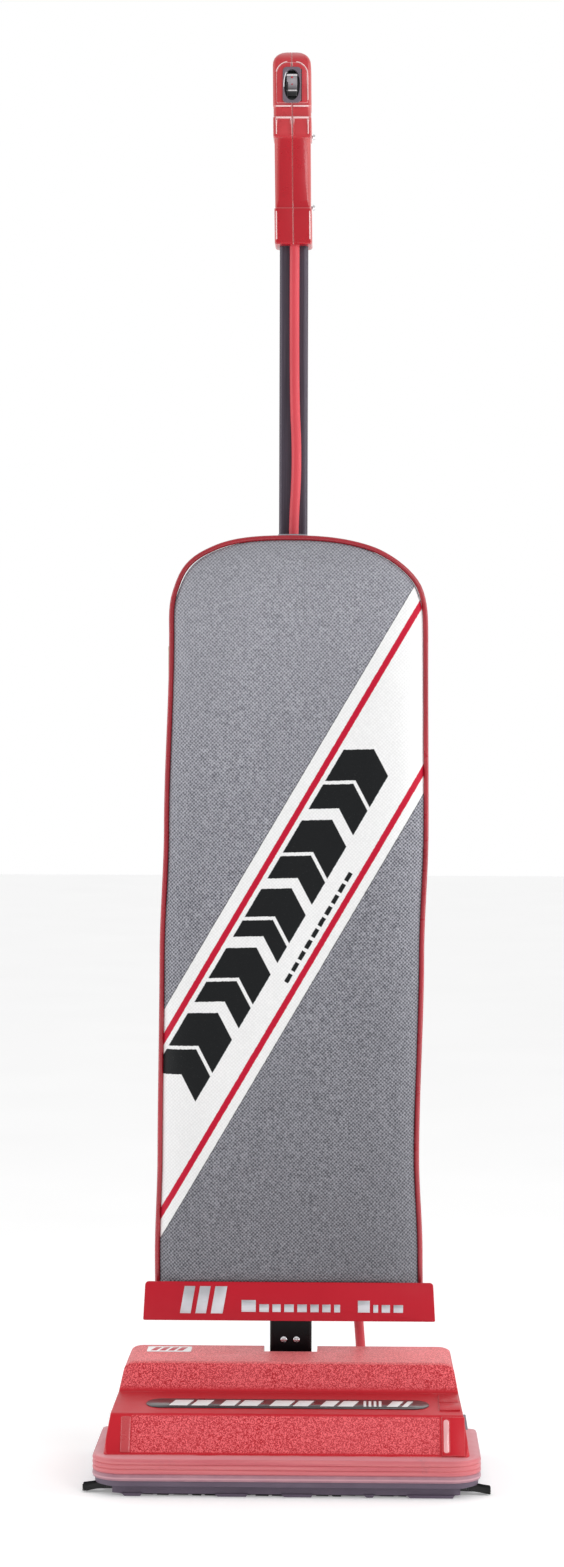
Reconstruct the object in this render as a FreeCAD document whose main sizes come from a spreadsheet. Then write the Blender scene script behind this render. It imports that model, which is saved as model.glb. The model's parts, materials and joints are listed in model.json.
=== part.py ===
import FreeCAD, Part
import math
import os

import Sketcher

# An upright vacuum cleaner: a wide floor head on two rear wheels and front glides, and a handle that
# leans back from it, with a cloth bag in front of the tube and a switch in the grip.
# Millimetres. +Z up, -Y the front, X across. Origin on the floor, at the centre of the whole object.

Vector = FreeCAD.Vector
doc = FreeCAD.newDocument("upright_vacuum")

# ---------------------------------------------------------------------------------------------------
# Driving dimensions
# ---------------------------------------------------------------------------------------------------
DIMENSIONS = [
    # hood: the painted cover of the floor head
    ("hood_wide_front", 300), ("hood_wide_back", 290), ("crown_wide_front", 281), ("crown_wide_back", 275),
    ("hood_front", 105), ("hood_back", 77), ("hood_base", 32.5), ("lip_top", 63), ("lip_run", 19),
    ("ledge_back", 21), ("ledge_top", 68.5), ("crown_front", 3), ("crown_top", 91), ("wall", 2.4),
    ("hood_corner", 14), ("notch_wide", 46), ("notch_front", 46),
    # chassis tray under the hood
    ("tray_wide", 303), ("tray_front", 108), ("tray_back", 75), ("tray_floor", 7), ("tray_top", 32.2),
    ("skirt", 3), ("mouth_wide", 262), ("mouth_front", 94), ("mouth_back", 44), ("apron_base", 2.2),
    ("nozzle_wide", 272), ("nozzle_gauge", 2), ("nozzle_bore", 1.65), ("nozzle_screw_in", 7),
    # edge brushes at the front corners
    ("edge_brush_y", 91), ("edge_brush_gap", 7),
    # label strip in the ledge and plate on the crown
    ("strip_wide", 234), ("strip_front", 70), ("strip_back", 44), ("strip_thick", 0.6),
    ("badge_x", 104), ("badge_y", 52), ("badge_wide", 38), ("badge_deep", 24), ("badge_thick", 0.4),
    # bumper round the front and sides
    ("bumper_wide", 318), ("bumper_front", 116), ("bumper_back", 34), ("bumper_base", 9),
    ("bumper_top", 32), ("bumper_corner", 26),
    # brush roll and its drive
    ("roll_y", 69), ("roll_z", 29), ("roll_radius", 16), ("roll_length", 244), ("bristle_out", 5),
    ("axle_radius", 4), ("pulley_x", 112), ("belt_wide", 8), ("belt_thick", 1.6), ("pulley_radius", 8),
    # motor and fan, both on one axis
    ("motor_y", 8), ("motor_z", 49), ("motor_radius", 30), ("motor_start", 20), ("motor_length", 72),
    ("shaft_radius", 4), ("fan_radius", 31.5), ("fan_start", 30), ("fan_deep", 22),
    # rear wheels
    ("wheel_radius", 21), ("wheel_wide", 16), ("wheel_x", 122), ("wheel_y", 48), ("wheel_rod_radius", 3),
    # handle pivot and neck
    ("pivot_y", 78), ("pivot_z", 42), ("hub_radius", 15), ("hub_wide", 36), ("neck_deep", 18),
    ("neck_top", 127), ("neck_y", 73), ("neck_wall", 3), ("pin_radius", 5), ("bearing_play", 0.06),
    ("neck_screw_z", 98), ("ear_radius", 9.4), ("ear_thick", 6),
    # handle tube
    ("tube_wide", 24.6), ("tube_deep", 16), ("tube_y", 73), ("tube_base", 136), ("tube_joint", 470),
    ("tube_top", 1062), ("tube_gauge", 1.3), ("tube_corner", 4), ("sleeve_half", 70), ("bolt_down", 40),
    ("bolt_bore", 2.5), ("bolt_radius", 2.4),
    # cord hooks, clips and the band that the bag hangs from
    ("hook_upper_z", 960), ("hook_lower_z", 620), ("hook_wide", 16), ("hook_disc", 11), ("hook_lip", 34),
    ("clip_front", 56), ("clip_play", 0.15), ("clip_gauge", 1.4), ("clip_tall", 9), ("clip_low_z", 500),
    ("clip_high_z", 690), ("bag_clip_z", 776), ("bag_clip_tall", 13), ("tab_wide", 25), ("tab_tall", 20),
    # grip
    ("grip_wide", 32), ("grip_front", 52.5), ("grip_deep", 38), ("grip_base", 1042), ("grip_top", 1211),
    ("grip_lean", 14), ("grip_wall", 2.6), ("seam_half", 0.1), ("grip_screw_bore", 1.45),
    # switch in the grip: its bezel stands out by a share of the grip's lean
    ("bezel_wide", 16), ("bezel_tall", 32), ("bezel_z", 1180), ("bezel_lean_share", 0.72),
    ("bezel_slope_share", 0.57), ("bezel_corner", 3.4), ("bezel_thick", 1.6), ("bezel_side", 2.5),
    ("bezel_end", 3.5), ("switch_deep", 16), ("rocker_play", 0.6), ("rocker_end_play", 1.3),
    ("rocker_rise", 3), ("trunnion_radius", 1.3),
    # gland that the mains lead would enter by
    ("gland_rise", 18), ("gland_hole", 6), ("gland_radius", 5.9), ("gland_bore", 4.2),
    ("gland_flange", 8), ("gland_flange_thick", 1.6),
    # bag
    ("bag_wide", 220), ("bag_base", 142), ("bag_top", 787), ("bag_back", 53), ("bag_deep", 42),
    ("bag_crown", 74), ("bag_cloth", 1.6), ("bag_bulge", 22), ("piping_radius", 1.9),
    ("inlet_y", 28), ("inlet_radius", 16), ("collar_radius", 20), ("collar_flange", 26),
    ("paper_in", 14), ("paper_skin", 9), ("paper_thick", 0.8),
    # zip down the bag's left side
    ("zip_in", 2.2), ("zip_y", 22), ("zip_tape_wide", 14), ("zip_base", 262), ("zip_long", 440),
    ("zip_tape_thick", 0.8), ("slider_z", 690), ("slider_thick", 1.8), ("pull_z", 672), ("pull_thick", 1.2),
    # bag base and its red front strip
    ("plate_wide", 236), ("plate_top", 136), ("plate_thick", 9), ("banner_wide", 246),
    ("banner_base", 126.5), ("banner_top", 159), ("banner_thick", 3), ("banner_front", 9),
    # cord from the switch to the motor, held along the tube
    ("cord_radius", 4.2), ("grommet_radius", 7), ("grommet_play", 0.05), ("grommet_bore", 4.3),
    ("grommet_out", 10), ("grommet_in", 12), ("grommet_past", 4), ("grommet_flange", 11),
    ("grommet_flange_thick", 2), ("grommet_flange_drop", 2.2), ("cord_in", 9),
    # small gap between faces that touch in the real object
    ("face_gap", 0.1),
]

dims = doc.addObject("Spreadsheet::Sheet", "Dims")
for row, (alias, value) in enumerate(DIMENSIONS, start=1):
    dims.set("A%d" % row, alias)
    dims.set("B%d" % row, str(value))
    dims.setAlias("B%d" % row, alias)
doc.recompute()


# The lead from the switch to the motor: the corners of its route, down the front of the tube, out to
# its right side and round to the back of the hood.
CORD_POINTS = [
    (0.9, 60.5, 1078), (0.6, 60.5, 1000), (1.1, 60.5, 905), (2.9, 60.5, 872), (2.7, 60.5, 838),
    (0.7, 60.5, 806), (0.1, 60.5, 745), (0.8, 60.5, 650), (-0.6, 60.5, 545), (0.2, 60.5, 455),
    (4.0, 60.3, 390), (13.5, 60.2, 338), (25.5, 63.0, 296), (36.0, 71.0, 256), (44.0, 81.0, 220),
    (50.0, 90.0, 184), (54.0, 97.0, 152), (57.3, 101.5, 125), (59.8, 95.0, 97), (62.0, 69.0, 70.0)]


def size(alias):
    """A driving dimension, for the shapes that are made by formula."""
    return float(dims.get(alias))


def expression(text):
    """A formula in which every dimension is named as a cell of the sheet."""
    for alias in sorted((name for name, _ in DIMENSIONS), key=len, reverse=True):
        text = text.replace("{" + alias + "}", "Dims." + alias)
    return text


def amount(formula):
    return float(dims.evalExpression(expression(str(formula))))


def bind(obj, **formulas):
    """Bind properties to formulas; x, y and z are the placement's."""
    for prop, formula in formulas.items():
        path = ".Placement.Base." + prop if prop in ("x", "y", "z") else prop
        obj.setExpression(path, expression(str(formula)))
    return obj


# ---------------------------------------------------------------------------------------------------
# Small vocabulary for the pieces
# ---------------------------------------------------------------------------------------------------
pieces = []


def piece(obj, label):
    """Mark an object as a sub-part: its label names the node and the file."""
    obj.Label = label
    pieces.append(obj)
    return obj


def block(name, low, high):
    """A box between two corners given as formulas."""
    obj = doc.addObject("Part::Box", name)
    spans = ["(%s) - (%s)" % (b, a) for a, b in zip(low, high)]
    return bind(obj, Length=spans[0], Width=spans[1], Height=spans[2], x=low[0], y=low[1], z=low[2])


AXES = {"x": FreeCAD.Rotation(Vector(0, 1, 0), 90), "y": FreeCAD.Rotation(Vector(1, 0, 0), -90),
        "z": FreeCAD.Rotation()}


def rod(name, axis, radius, length, start):
    """A cylinder along an axis, from a start point given as formulas."""
    obj = doc.addObject("Part::Cylinder", name)
    obj.Placement = FreeCAD.Placement(Vector(), AXES[axis])
    return bind(obj, Radius=radius, Height=length, x=start[0], y=start[1], z=start[2])


def cut(name, base, *tools):
    obj = doc.addObject("Part::Cut", name)
    obj.Base = base
    obj.Tool = tools[0] if len(tools) == 1 else fuse(name + "_tools", *tools)
    return obj


def fuse(name, *parts):
    obj = doc.addObject("Part::MultiFuse", name)
    obj.Shapes = list(parts)
    return obj


def common(name, *parts):
    obj = doc.addObject("Part::MultiCommon", name)
    obj.Shapes = list(parts)
    return obj


def plane_of(body, role):
    return next(f for f in body.Origin.OriginFeatures if f.Role == role)


def outline_sketch(body, name, role, corners, offset="0"):
    """A closed polygon whose corners are pairs of formulas, each bound from the sketch's origin."""
    sketch = body.newObject("Sketcher::SketchObject", name)
    sketch.AttachmentSupport = [(plane_of(body, role), "")]
    sketch.MapMode = "FlatFace"
    sketch.setExpression(".AttachmentOffset.Base.z", expression(str(offset)))
    values = [(amount(a), amount(b)) for a, b in corners]
    count = len(corners)
    sides = []
    for i in range(count):
        sides.append(Part.LineSegment(Vector(*values[i], 0), Vector(*values[(i + 1) % count], 0)))
    sketch.addGeometry(sides, False)
    for i in range(count):
        sketch.addConstraint(Sketcher.Constraint("Coincident", i, 2, (i + 1) % count, 1))
    for i, corner in enumerate(corners):
        for kind, formula, value in zip(("DistanceX", "DistanceY"), corner, values[i]):
            index = sketch.addConstraint(Sketcher.Constraint(kind, -1, 1, i, 1, value))
            sketch.setExpression("Constraints[%d]" % index, expression(str(formula)))
    return sketch


def circle_sketch(body, name, role, centre, radius, offset="0"):
    sketch = body.newObject("Sketcher::SketchObject", name)
    sketch.AttachmentSupport = [(plane_of(body, role), "")]
    sketch.MapMode = "FlatFace"
    sketch.setExpression(".AttachmentOffset.Base.z", expression(str(offset)))
    middle = Vector(amount(centre[0]), amount(centre[1]), 0)
    sketch.addGeometry([Part.Circle(middle, Vector(0, 0, 1), amount(radius))], False)
    for kind, formula, value in (("DistanceX", centre[0], middle.x), ("DistanceY", centre[1], middle.y)):
        index = sketch.addConstraint(Sketcher.Constraint(kind, -1, 1, 0, 3, value))
        sketch.setExpression("Constraints[%d]" % index, expression(str(formula)))
    index = sketch.addConstraint(Sketcher.Constraint("Radius", 0, amount(radius)))
    sketch.setExpression("Constraints[%d]" % index, expression(str(radius)))
    return sketch


def pad(body, sketch, length, both_ways=False):
    feature = body.newObject("PartDesign::Pad", sketch.Name + "_pad")
    feature.Profile = sketch
    feature.Midplane = both_ways
    bind(feature, Length=length)
    return feature


def pocket(body, sketch, length, reverse=False, both_ways=False):
    """Cut a sketch through the body, and make sure that it did cut."""
    doc.recompute()
    before = body.Shape.Volume
    feature = body.newObject("PartDesign::Pocket", sketch.Name + "_pocket")
    feature.Profile = sketch
    feature.Midplane = both_ways
    feature.Reversed = reverse
    bind(feature, Length=length)
    doc.recompute()
    if not body.Shape.Volume < before - 1:
        raise ValueError("%s cuts nothing" % feature.Name)
    return feature


def round_edges(body, radius, wanted):
    """Fillet the edges of the body's tip for which wanted(edge) is true."""
    doc.recompute()
    base = body.Tip
    names = ["Edge%d" % (i + 1) for i, edge in enumerate(base.Shape.Edges) if wanted(edge)]
    if not names:
        raise ValueError("no edge to round on " + body.Name)
    feature = body.newObject("PartDesign::Fillet", body.Name + "_round%d" % len(body.Group))
    feature.Base = (base, names)
    bind(feature, Radius=radius)
    doc.recompute()
    return feature


def runs_along(edge, axis):
    """True for a straight edge along X, Y or Z."""
    if edge.Curve.TypeId != "Part::GeomLine":
        return False
    step = edge.Vertexes[-1].Point - edge.Vertexes[0].Point
    return abs(abs(getattr(step, axis)) - step.Length) < 1e-6


def body_of(name):
    return doc.addObject("PartDesign::Body", name)


def turned(name, corners, centre):
    """A body turned about an axis along X: corners are pairs of a place along X and a radius."""
    body = body_of(name)
    sketch = outline_sketch(body, name + "_section", "XY_Plane", corners, offset=centre[1])
    sketch.setExpression(".AttachmentOffset.Base.y", expression(centre[0]))
    feature = body.newObject("PartDesign::Revolution", name + "_turn")
    feature.Profile = sketch
    feature.ReferenceAxis = (sketch, ["H_Axis"])
    feature.Angle = 360
    return body


def rectangle(low_a, low_b, high_a, high_b):
    return [(low_a, low_b), (high_a, low_b), (high_a, high_b), (low_a, high_b)]


def shape_piece(label, shape):
    """A sub-part whose shape comes from a formula; its placement is set after its shape."""
    obj = doc.addObject("Part::Feature", label)
    obj.Shape = shape
    obj.Placement = shape.Placement
    return piece(obj, label)


def screws(label, places, radius, length, axis, head_out):
    """Identical screws in one node: a shank along the axis and a domed pan head on one end."""
    solids = []
    direction = {"x": Vector(1, 0, 0), "y": Vector(0, 1, 0), "z": Vector(0, 0, 1)}[axis] * head_out
    for place in places:
        top = Vector(*[amount(c) for c in place])
        shank = Part.makeCylinder(radius, length, top, direction * -1)
        head = Part.makeCone(radius * 2.0, radius * 1.3, radius * 1.2, top, direction)
        solids.append(shank.fuse(head).removeSplitter())
    return shape_piece(label, Part.makeCompound(solids))


# ---------------------------------------------------------------------------------------------------
# Floor head
# ---------------------------------------------------------------------------------------------------
def plan_wire(front_half, back_half, front, back, corner, level):
    """The hood's plan at a level: a rounded trapezium, a little narrower at the back."""
    points = [Vector(-front_half, -front, level), Vector(front_half, -front, level),
              Vector(back_half, back, level), Vector(-back_half, back, level)]
    radii = [corner, corner, corner * 0.45, corner * 0.45]
    edges = []
    starts = []
    ends = []
    for i, point in enumerate(points):
        before = (points[i - 1] - point).normalize()
        after = (points[(i + 1) % 4] - point).normalize()
        half = before.getAngle(after) / 2
        reach = radii[i] / math.tan(half)
        starts.append(point + before * reach)
        ends.append(point + after * reach)
    for i, point in enumerate(points):
        inward = ((starts[i] - point) + (ends[i] - point)).normalize()
        half = (starts[i] - point).getAngle(ends[i] - point) / 2
        middle = point + inward * (radii[i] / math.sin(half) - radii[i])
        edges.append(Part.Arc(starts[i], middle, ends[i]).toShape())
        edges.append(Part.LineSegment(ends[i], starts[(i + 1) % 4]).toShape())
    return Part.Wire(edges)


def plan_solid(inset):
    """Drafted sides of the hood: the plan at the skirt lofted to the smaller plan at the crown."""
    base = size("hood_base") - 1
    top = size("crown_top") + 1
    corner = size("hood_corner")
    low = plan_wire(size("hood_wide_front") / 2 - inset, size("hood_wide_back") / 2 - inset,
                    size("hood_front") + 5 - inset, size("hood_back") - inset, corner, base)
    high = plan_wire(size("crown_wide_front") / 2 - inset, size("crown_wide_back") / 2 - inset,
                     size("hood_front") + 5 - inset, size("hood_back") - inset, corner, top)
    return Part.makeLoft([low, high], True)


def hood_profile(name, inset):
    """Side profile of the hood swept across it: front lip, ledge, riser and crown."""
    body = body_of(name)
    corners = [
        ("-{hood_front} + %s" % inset, "{hood_base} - 1"),
        ("-{hood_front} + {lip_run} + %s" % inset, "{lip_top} - %s" % inset),
        ("-{ledge_back} + %s * 0.7" % inset, "{ledge_top} - %s" % inset),
        ("-{crown_front} + %s * 0.7" % inset, "{crown_top} - %s" % inset),
        ("{hood_back} - %s" % inset, "{crown_top} - %s" % inset),
        ("{hood_back} - %s" % inset, "{hood_base} - 1"),
    ]
    sketch = outline_sketch(body, name + "_outline", "YZ_Plane", corners)
    pad(body, sketch, "{hood_wide_front} + 40", both_ways=True)
    round_edges(body, "4 - %s * 0.5" % inset,
                lambda e: runs_along(e, "x") and e.Vertexes[0].Point.z > size("hood_base") + 5)
    return body


def grommet_bar(radius, low, high):
    """A bar along the cord where it enters the hood, between two distances from the hood's corner."""
    end = Vector(*CORD_POINTS[-1])
    inward = (end - Vector(*CORD_POINTS[-2])).normalize()
    mouth = end - inward * size("cord_in")
    return Part.makeCylinder(radius, high - low, mouth + inward * low, inward)


def make_hood():
    outer_plan = doc.addObject("Part::Feature", "hood_plan_outer")
    outer_plan.Shape = plan_solid(0)
    inner_plan = doc.addObject("Part::Feature", "hood_plan_inner")
    inner_plan.Shape = plan_solid(size("wall"))
    outer = common("hood_outer", hood_profile("hood_profile_outer", "0"), outer_plan)
    inner = common("hood_inner", hood_profile("hood_profile_inner", "{wall}"), inner_plan)
    skirt = block("hood_trim", ("-{hood_wide_front}", "-{hood_front} - 20", "{hood_base} - 5"),
                  ("{hood_wide_front}", "{hood_back} + 20", "{hood_base}"))
    notch = block("hood_notch", ("-{notch_wide} / 2", "{notch_front}", "{hood_base} - 5"),
                  ("{notch_wide} / 2", "{hood_back} + 5", "{crown_top} + 5"))
    pivot_way = block("hood_pivot_way", ("-{notch_wide} / 2 - 10", "{notch_front}", "{hood_base} - 5"),
                      ("{notch_wide} / 2 + 10", "{hood_back} + 5", "56"))
    bore = doc.addObject("Part::Feature", "hood_cord_bore")
    out, past = size("grommet_out"), size("grommet_past")
    radius = size("grommet_radius")
    bore.Shape = grommet_bar(radius + size("grommet_play"), -out - past, size("grommet_in") + 2 * past)
    shell = cut("hood_shell", outer, inner, skirt, notch, pivot_way, bore)
    wall_block = block("notch_wall_block", ("-{notch_wide} / 2 - {wall}", "{notch_front} - {wall}", "56"),
                       ("{notch_wide} / 2 + {wall}", "{hood_back} - 1", "{crown_top} - 1"))
    notch_walls = cut("notch_walls", wall_block, notch)
    piece(fuse("hood_moulding", shell, notch_walls), "hood")
    mouth = grommet_bar(radius, -out / 2, 0).CenterOfMass
    seat = Vector(mouth.x, size("hood_back") + size("face_gap"), mouth.z - size("grommet_flange_drop"))
    flange = Part.makeCylinder(size("grommet_flange"), size("grommet_flange_thick"), seat, Vector(0, 1, 0))
    way = grommet_bar(size("grommet_bore"), -out - 2 * past, size("grommet_in") + 2 * past)
    ring = grommet_bar(radius, -out, size("grommet_in")).fuse(flange).cut(way)
    shape_piece("cord_grommet", ring.removeSplitter())


NOZZLE_SCREWS_X = (-110, -38, 38, 110)


def make_tray():
    """Chassis tray: a floor with upturned sides, an open mouth for the brush roll and wheel cut-outs."""
    body = body_of("tray")
    plan = rectangle("-{tray_wide} / 2", "-{tray_front}", "{tray_wide} / 2", "{tray_back}")
    sketch = outline_sketch(body, "tray_plan", "XY_Plane", plan, offset="{apron_base}")
    pad(body, sketch, "{tray_top} - {apron_base}")
    round_edges(body, "{bumper_corner} - 5.5", lambda e: runs_along(e, "z") and e.Vertexes[0].Point.y < 0)
    inside = rectangle("-{tray_wide} / 2 + {skirt}", "-{tray_front} + {skirt}",
                       "{tray_wide} / 2 - {skirt}", "{tray_back} - {skirt}")
    hollow = outline_sketch(body, "tray_hollow", "XY_Plane", inside, offset="{tray_floor} + {skirt}")
    pocket(body, hollow, "{tray_top}", reverse=True)
    under = outline_sketch(body, "tray_under", "XY_Plane", inside, offset="0")
    pocket(body, under, "{tray_floor}", reverse=True)
    mouth = outline_sketch(body, "tray_mouth", "XY_Plane", rectangle(
        "-{mouth_wide} / 2", "-{mouth_front}", "{mouth_wide} / 2", "-{mouth_back}"), offset="0")
    pocket(body, mouth, "{tray_floor} + {skirt} + 2", reverse=True)
    for side, sign in (("left", "-1"), ("right", "1")):
        centre = "%s * {wheel_x}" % sign
        well = outline_sketch(body, "tray_well_" + side, "XY_Plane", rectangle(
            centre + " - {wheel_wide} / 2 - 3", "{wheel_y} - {wheel_radius} - 3",
            centre + " + {wheel_wide} / 2 + 3", "{wheel_y} + {wheel_radius} + 2.5"), offset="0")
        pocket(body, well, "{tray_floor} + {skirt} + 2", reverse=True)
    gap = outline_sketch(body, "tray_gap", "XY_Plane", rectangle(
        "-{notch_wide} / 2", "{tray_back} - 12", "{notch_wide} / 2", "{tray_back} + 5"),
        offset="{tray_floor} + {skirt} + 1")
    pocket(body, gap, "{tray_top}", reverse=True)
    holes = [rod("tray_hole_%d" % (i + 1), "z", "{nozzle_bore}", "20",
                 (x, "-{mouth_back} + {nozzle_screw_in}", "-5"))
             for i, x in enumerate(NOZZLE_SCREWS_X)]
    low, high = "{tray_wide} / 2 - {skirt} - 1", "{tray_wide} / 2 + 1"
    gaps = [block("tray_brush_gap_" + side, (near, "-{edge_brush_y} - {edge_brush_gap}", "0"),
                  (far, "-{edge_brush_y} + {edge_brush_gap}", "{tray_floor}"))
            for side, near, far in (("left", "-(%s)" % high, "-(%s)" % low), ("right", low, high))]
    piece(cut("tray_moulding", body, *holes, *gaps), "chassis_tray")


GLIDE_FEET_X = (-127, -52, 32, 124)
NOZZLE_BARS_X = (-80, -27, 27, 80)


def make_nozzle_plate():
    """Steel nozzle plate: a thin frame under the mouth with cross bars and pressed glide feet."""
    floor = "{tray_floor}"
    under = floor + " - {nozzle_gauge}"
    frame = block("nozzle_frame", ("-{nozzle_wide} / 2", "-{mouth_front} - 5", under),
                  ("{nozzle_wide} / 2", "-{mouth_back} + 14", floor))
    mouth = block("nozzle_mouth", ("-{mouth_wide} / 2 + 6", "-{mouth_front} + 5", floor + " - 6"),
                  ("{mouth_wide} / 2 - 6", "-{mouth_back} - 4", floor + " + 6"))
    opened = cut("nozzle_opened", frame, mouth)
    parts = [opened]
    for i, x in enumerate(NOZZLE_BARS_X):
        parts.append(block("nozzle_bar_%d" % (i + 1), (x - 2, "-{mouth_front} + 3", under),
                           (x + 2, "-{mouth_back} - 2", floor)))
    for i, x in enumerate(GLIDE_FEET_X):
        foot = block("glide_foot_%d" % (i + 1), (x - 9, "-{mouth_front} - 5", "0"),
                     (x + 9, "-{mouth_front} - 0.5", floor + " - 1.5"))
        parts.append(foot)
    holes = [rod("nozzle_hole_%d" % (i + 1), "z", "{nozzle_bore}", "20",
                 (x, "-{mouth_back} + {nozzle_screw_in}", "-5"))
             for i, x in enumerate(NOZZLE_SCREWS_X)]
    piece(cut("nozzle_pressing", fuse("nozzle_parts", *parts), *holes), "nozzle_plate")
    screws("nozzle_screws", [(x, "-{mouth_back} + {nozzle_screw_in}", under + " - 0.05")
                             for x in NOZZLE_SCREWS_X], 1.6, 8, "z", -1)


def make_bumper():
    """Rubber bumper: a U of constant section round the front and both sides, with three ridges."""
    def loop(reach, base, top, name):
        body = body_of(name)
        plan = rectangle("-{bumper_wide} / 2 + %s" % reach, "-{bumper_front} + %s" % reach,
                         "{bumper_wide} / 2 - %s" % reach, "{bumper_back}")
        sketch = outline_sketch(body, name + "_plan", "XY_Plane", plan, offset=base)
        pad(body, sketch, "%s - (%s)" % (top, base))
        doc.recompute()
        round_edges(body, "{bumper_corner} - %s" % reach,
                    lambda e: runs_along(e, "z") and e.Vertexes[0].Point.y < 0)
        return body
    outer = loop("0", "{bumper_base}", "{bumper_top}", "bumper_outer")
    inner = loop("7", "{bumper_base} - 2", "{bumper_top} + 2", "bumper_inner")
    grooves = []
    for i in range(3):
        height = "{bumper_top} - %s" % (4.2 + 5.0 * i)
        shell = loop("-4", height, height + " + 1.2", "bumper_groove_shell_%d" % (i + 1))
        keep = loop("1.4", height + " - 1", height + " + 3", "bumper_groove_keep_%d" % (i + 1))
        grooves.append(cut("bumper_groove_%d" % (i + 1), shell, keep))
    piece(cut("bumper_shape", outer, inner, *grooves), "bumper")


def make_head_trim():
    """Label strip in the ledge and a small plate on the crown."""
    strip = body_of("strip")
    tilt = math.degrees(math.atan2(size("ledge_top") - size("lip_top"),
                                   size("hood_front") - size("lip_run") - size("ledge_back")))
    sketch = outline_sketch(strip, "strip_plan", "XY_Plane", rectangle(
        "-{strip_wide} / 2", "-{strip_front}", "{strip_wide} / 2", "-{strip_back}"), offset="0")
    pad(strip, sketch, "{strip_thick}")
    round_edges(strip, "({strip_front} - {strip_back}) / 2 - {face_gap}", lambda e: runs_along(e, "z"))
    strip.Placement = FreeCAD.Placement(
        Vector(0, 0, amount("{lip_top}") + 0.15 + (size("hood_front") - size("lip_run"))
               * math.tan(math.radians(tilt))), FreeCAD.Rotation(Vector(1, 0, 0), tilt))
    piece(strip, "hood_label_strip")
    badge = body_of("badge")
    sketch = outline_sketch(badge, "badge_plan", "XY_Plane", rectangle(
        "-{badge_x} - {badge_wide} / 2", "{badge_y} - {badge_deep} / 2",
        "-{badge_x} + {badge_wide} / 2", "{badge_y} + {badge_deep} / 2"), offset="{crown_top} + 0.05")
    pad(badge, sketch, "{badge_thick}")
    round_edges(badge, "2", lambda e: runs_along(e, "z"))
    piece(badge, "hood_badge")


def make_edge_brushes():
    """Bristle tufts that stick out under both front corners, each in a moulded holder."""
    reach = size("bumper_wide") / 2 + 8
    y = -size("edge_brush_y")
    for side, sign in (("left", -1), ("right", 1)):
        low, high = sorted((sign * 140, sign * 155))
        root = Part.makeBox(high - low, 9, 5.4, Vector(low, y - 4.5, 0.9))
        low, high = sorted((sign * 152.5, sign * reach))
        tuft = Part.makeBox(high - low, 9, 5.8, Vector(low, y - 4.5, 3))
        low, high = sorted((sign * 138, sign * 147.5))
        holder = Part.makeBox(high - low, 13, 3, Vector(low, y - 6.5, 3.9))
        shape_piece("edge_brush_" + side, tuft.fuse([root, holder]).removeSplitter())


def make_brush_roll():
    """Brush roll: a fixed steel axle in two end caps, a wooden core on it and a helix of tufts."""
    y, z, half = "-{roll_y}", "{roll_z}", "{roll_length} / 2"
    axle = rod("roll_axle", "x", "{axle_radius}", "{roll_length} + 14", ("-%s - 7" % half, y, z))
    piece(axle, "brush_axle")
    core = rod("roll_blank", "x", "{roll_radius}", "{roll_length}", ("-" + half, y, z))
    groove = rod("roll_seat_blank", "x", "{roll_radius} + 5", "{belt_wide} + 4",
                 ("{pulley_x} - {belt_wide} / 2 - 2", y, z))
    seat = rod("roll_seat_core", "x", "{roll_radius} - 3", "{belt_wide} + 6",
               ("{pulley_x} - {belt_wide} / 2 - 3", y, z))
    bore = rod("roll_bore", "x", "{axle_radius} + {bearing_play}", "{roll_length} + 2",
               ("-%s - 1" % half, y, z))
    piece(cut("roll_turned", core, bore, cut("roll_belt_seat", groove, seat)), "brush_roll")
    tufts = []
    centre = Vector(0, -size("roll_y"), size("roll_z"))
    count = 22
    for strand in range(2):
        for i in range(count):
            x = -114 + i * 9.8
            turn = 360.0 * i / count + 180 * strand
            tuft = Part.makeCylinder(2.2, size("bristle_out") + 0.8,
                                     Vector(x, 0, size("roll_radius") - 0.2))
            tuft.rotate(Vector(x, 0, 0), Vector(1, 0, 0), turn)
            tuft.translate(centre)
            tufts.append(tuft)
    shell = Part.makeCylinder(size("roll_radius"), size("roll_length"),
                              centre - Vector(size("roll_length") / 2, 0, 0), Vector(1, 0, 0))
    shape_piece("brush_bristles", Part.makeCompound([tuft.cut(shell) for tuft in tufts]))
    for side, sign in (("left", -1), ("right", 1)):
        face = sign * (size("roll_length") / 2 + 1)
        cap = Part.makeCylinder(11, 7, Vector(face, centre.y, centre.z), Vector(sign, 0, 0))
        foot = Part.makeBox(7, 16, centre.z - size("tray_floor") - size("skirt"),
                            Vector(min(face, face + sign * 7), centre.y - 8,
                                   size("tray_floor") + size("skirt")))
        hole = Part.makeCylinder(size("axle_radius"), 20, Vector(face - sign * 5, centre.y, centre.z),
                                 Vector(sign, 0, 0))
        shape_piece("brush_end_cap_" + side, cap.fuse(foot).cut(hole).removeSplitter())


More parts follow.
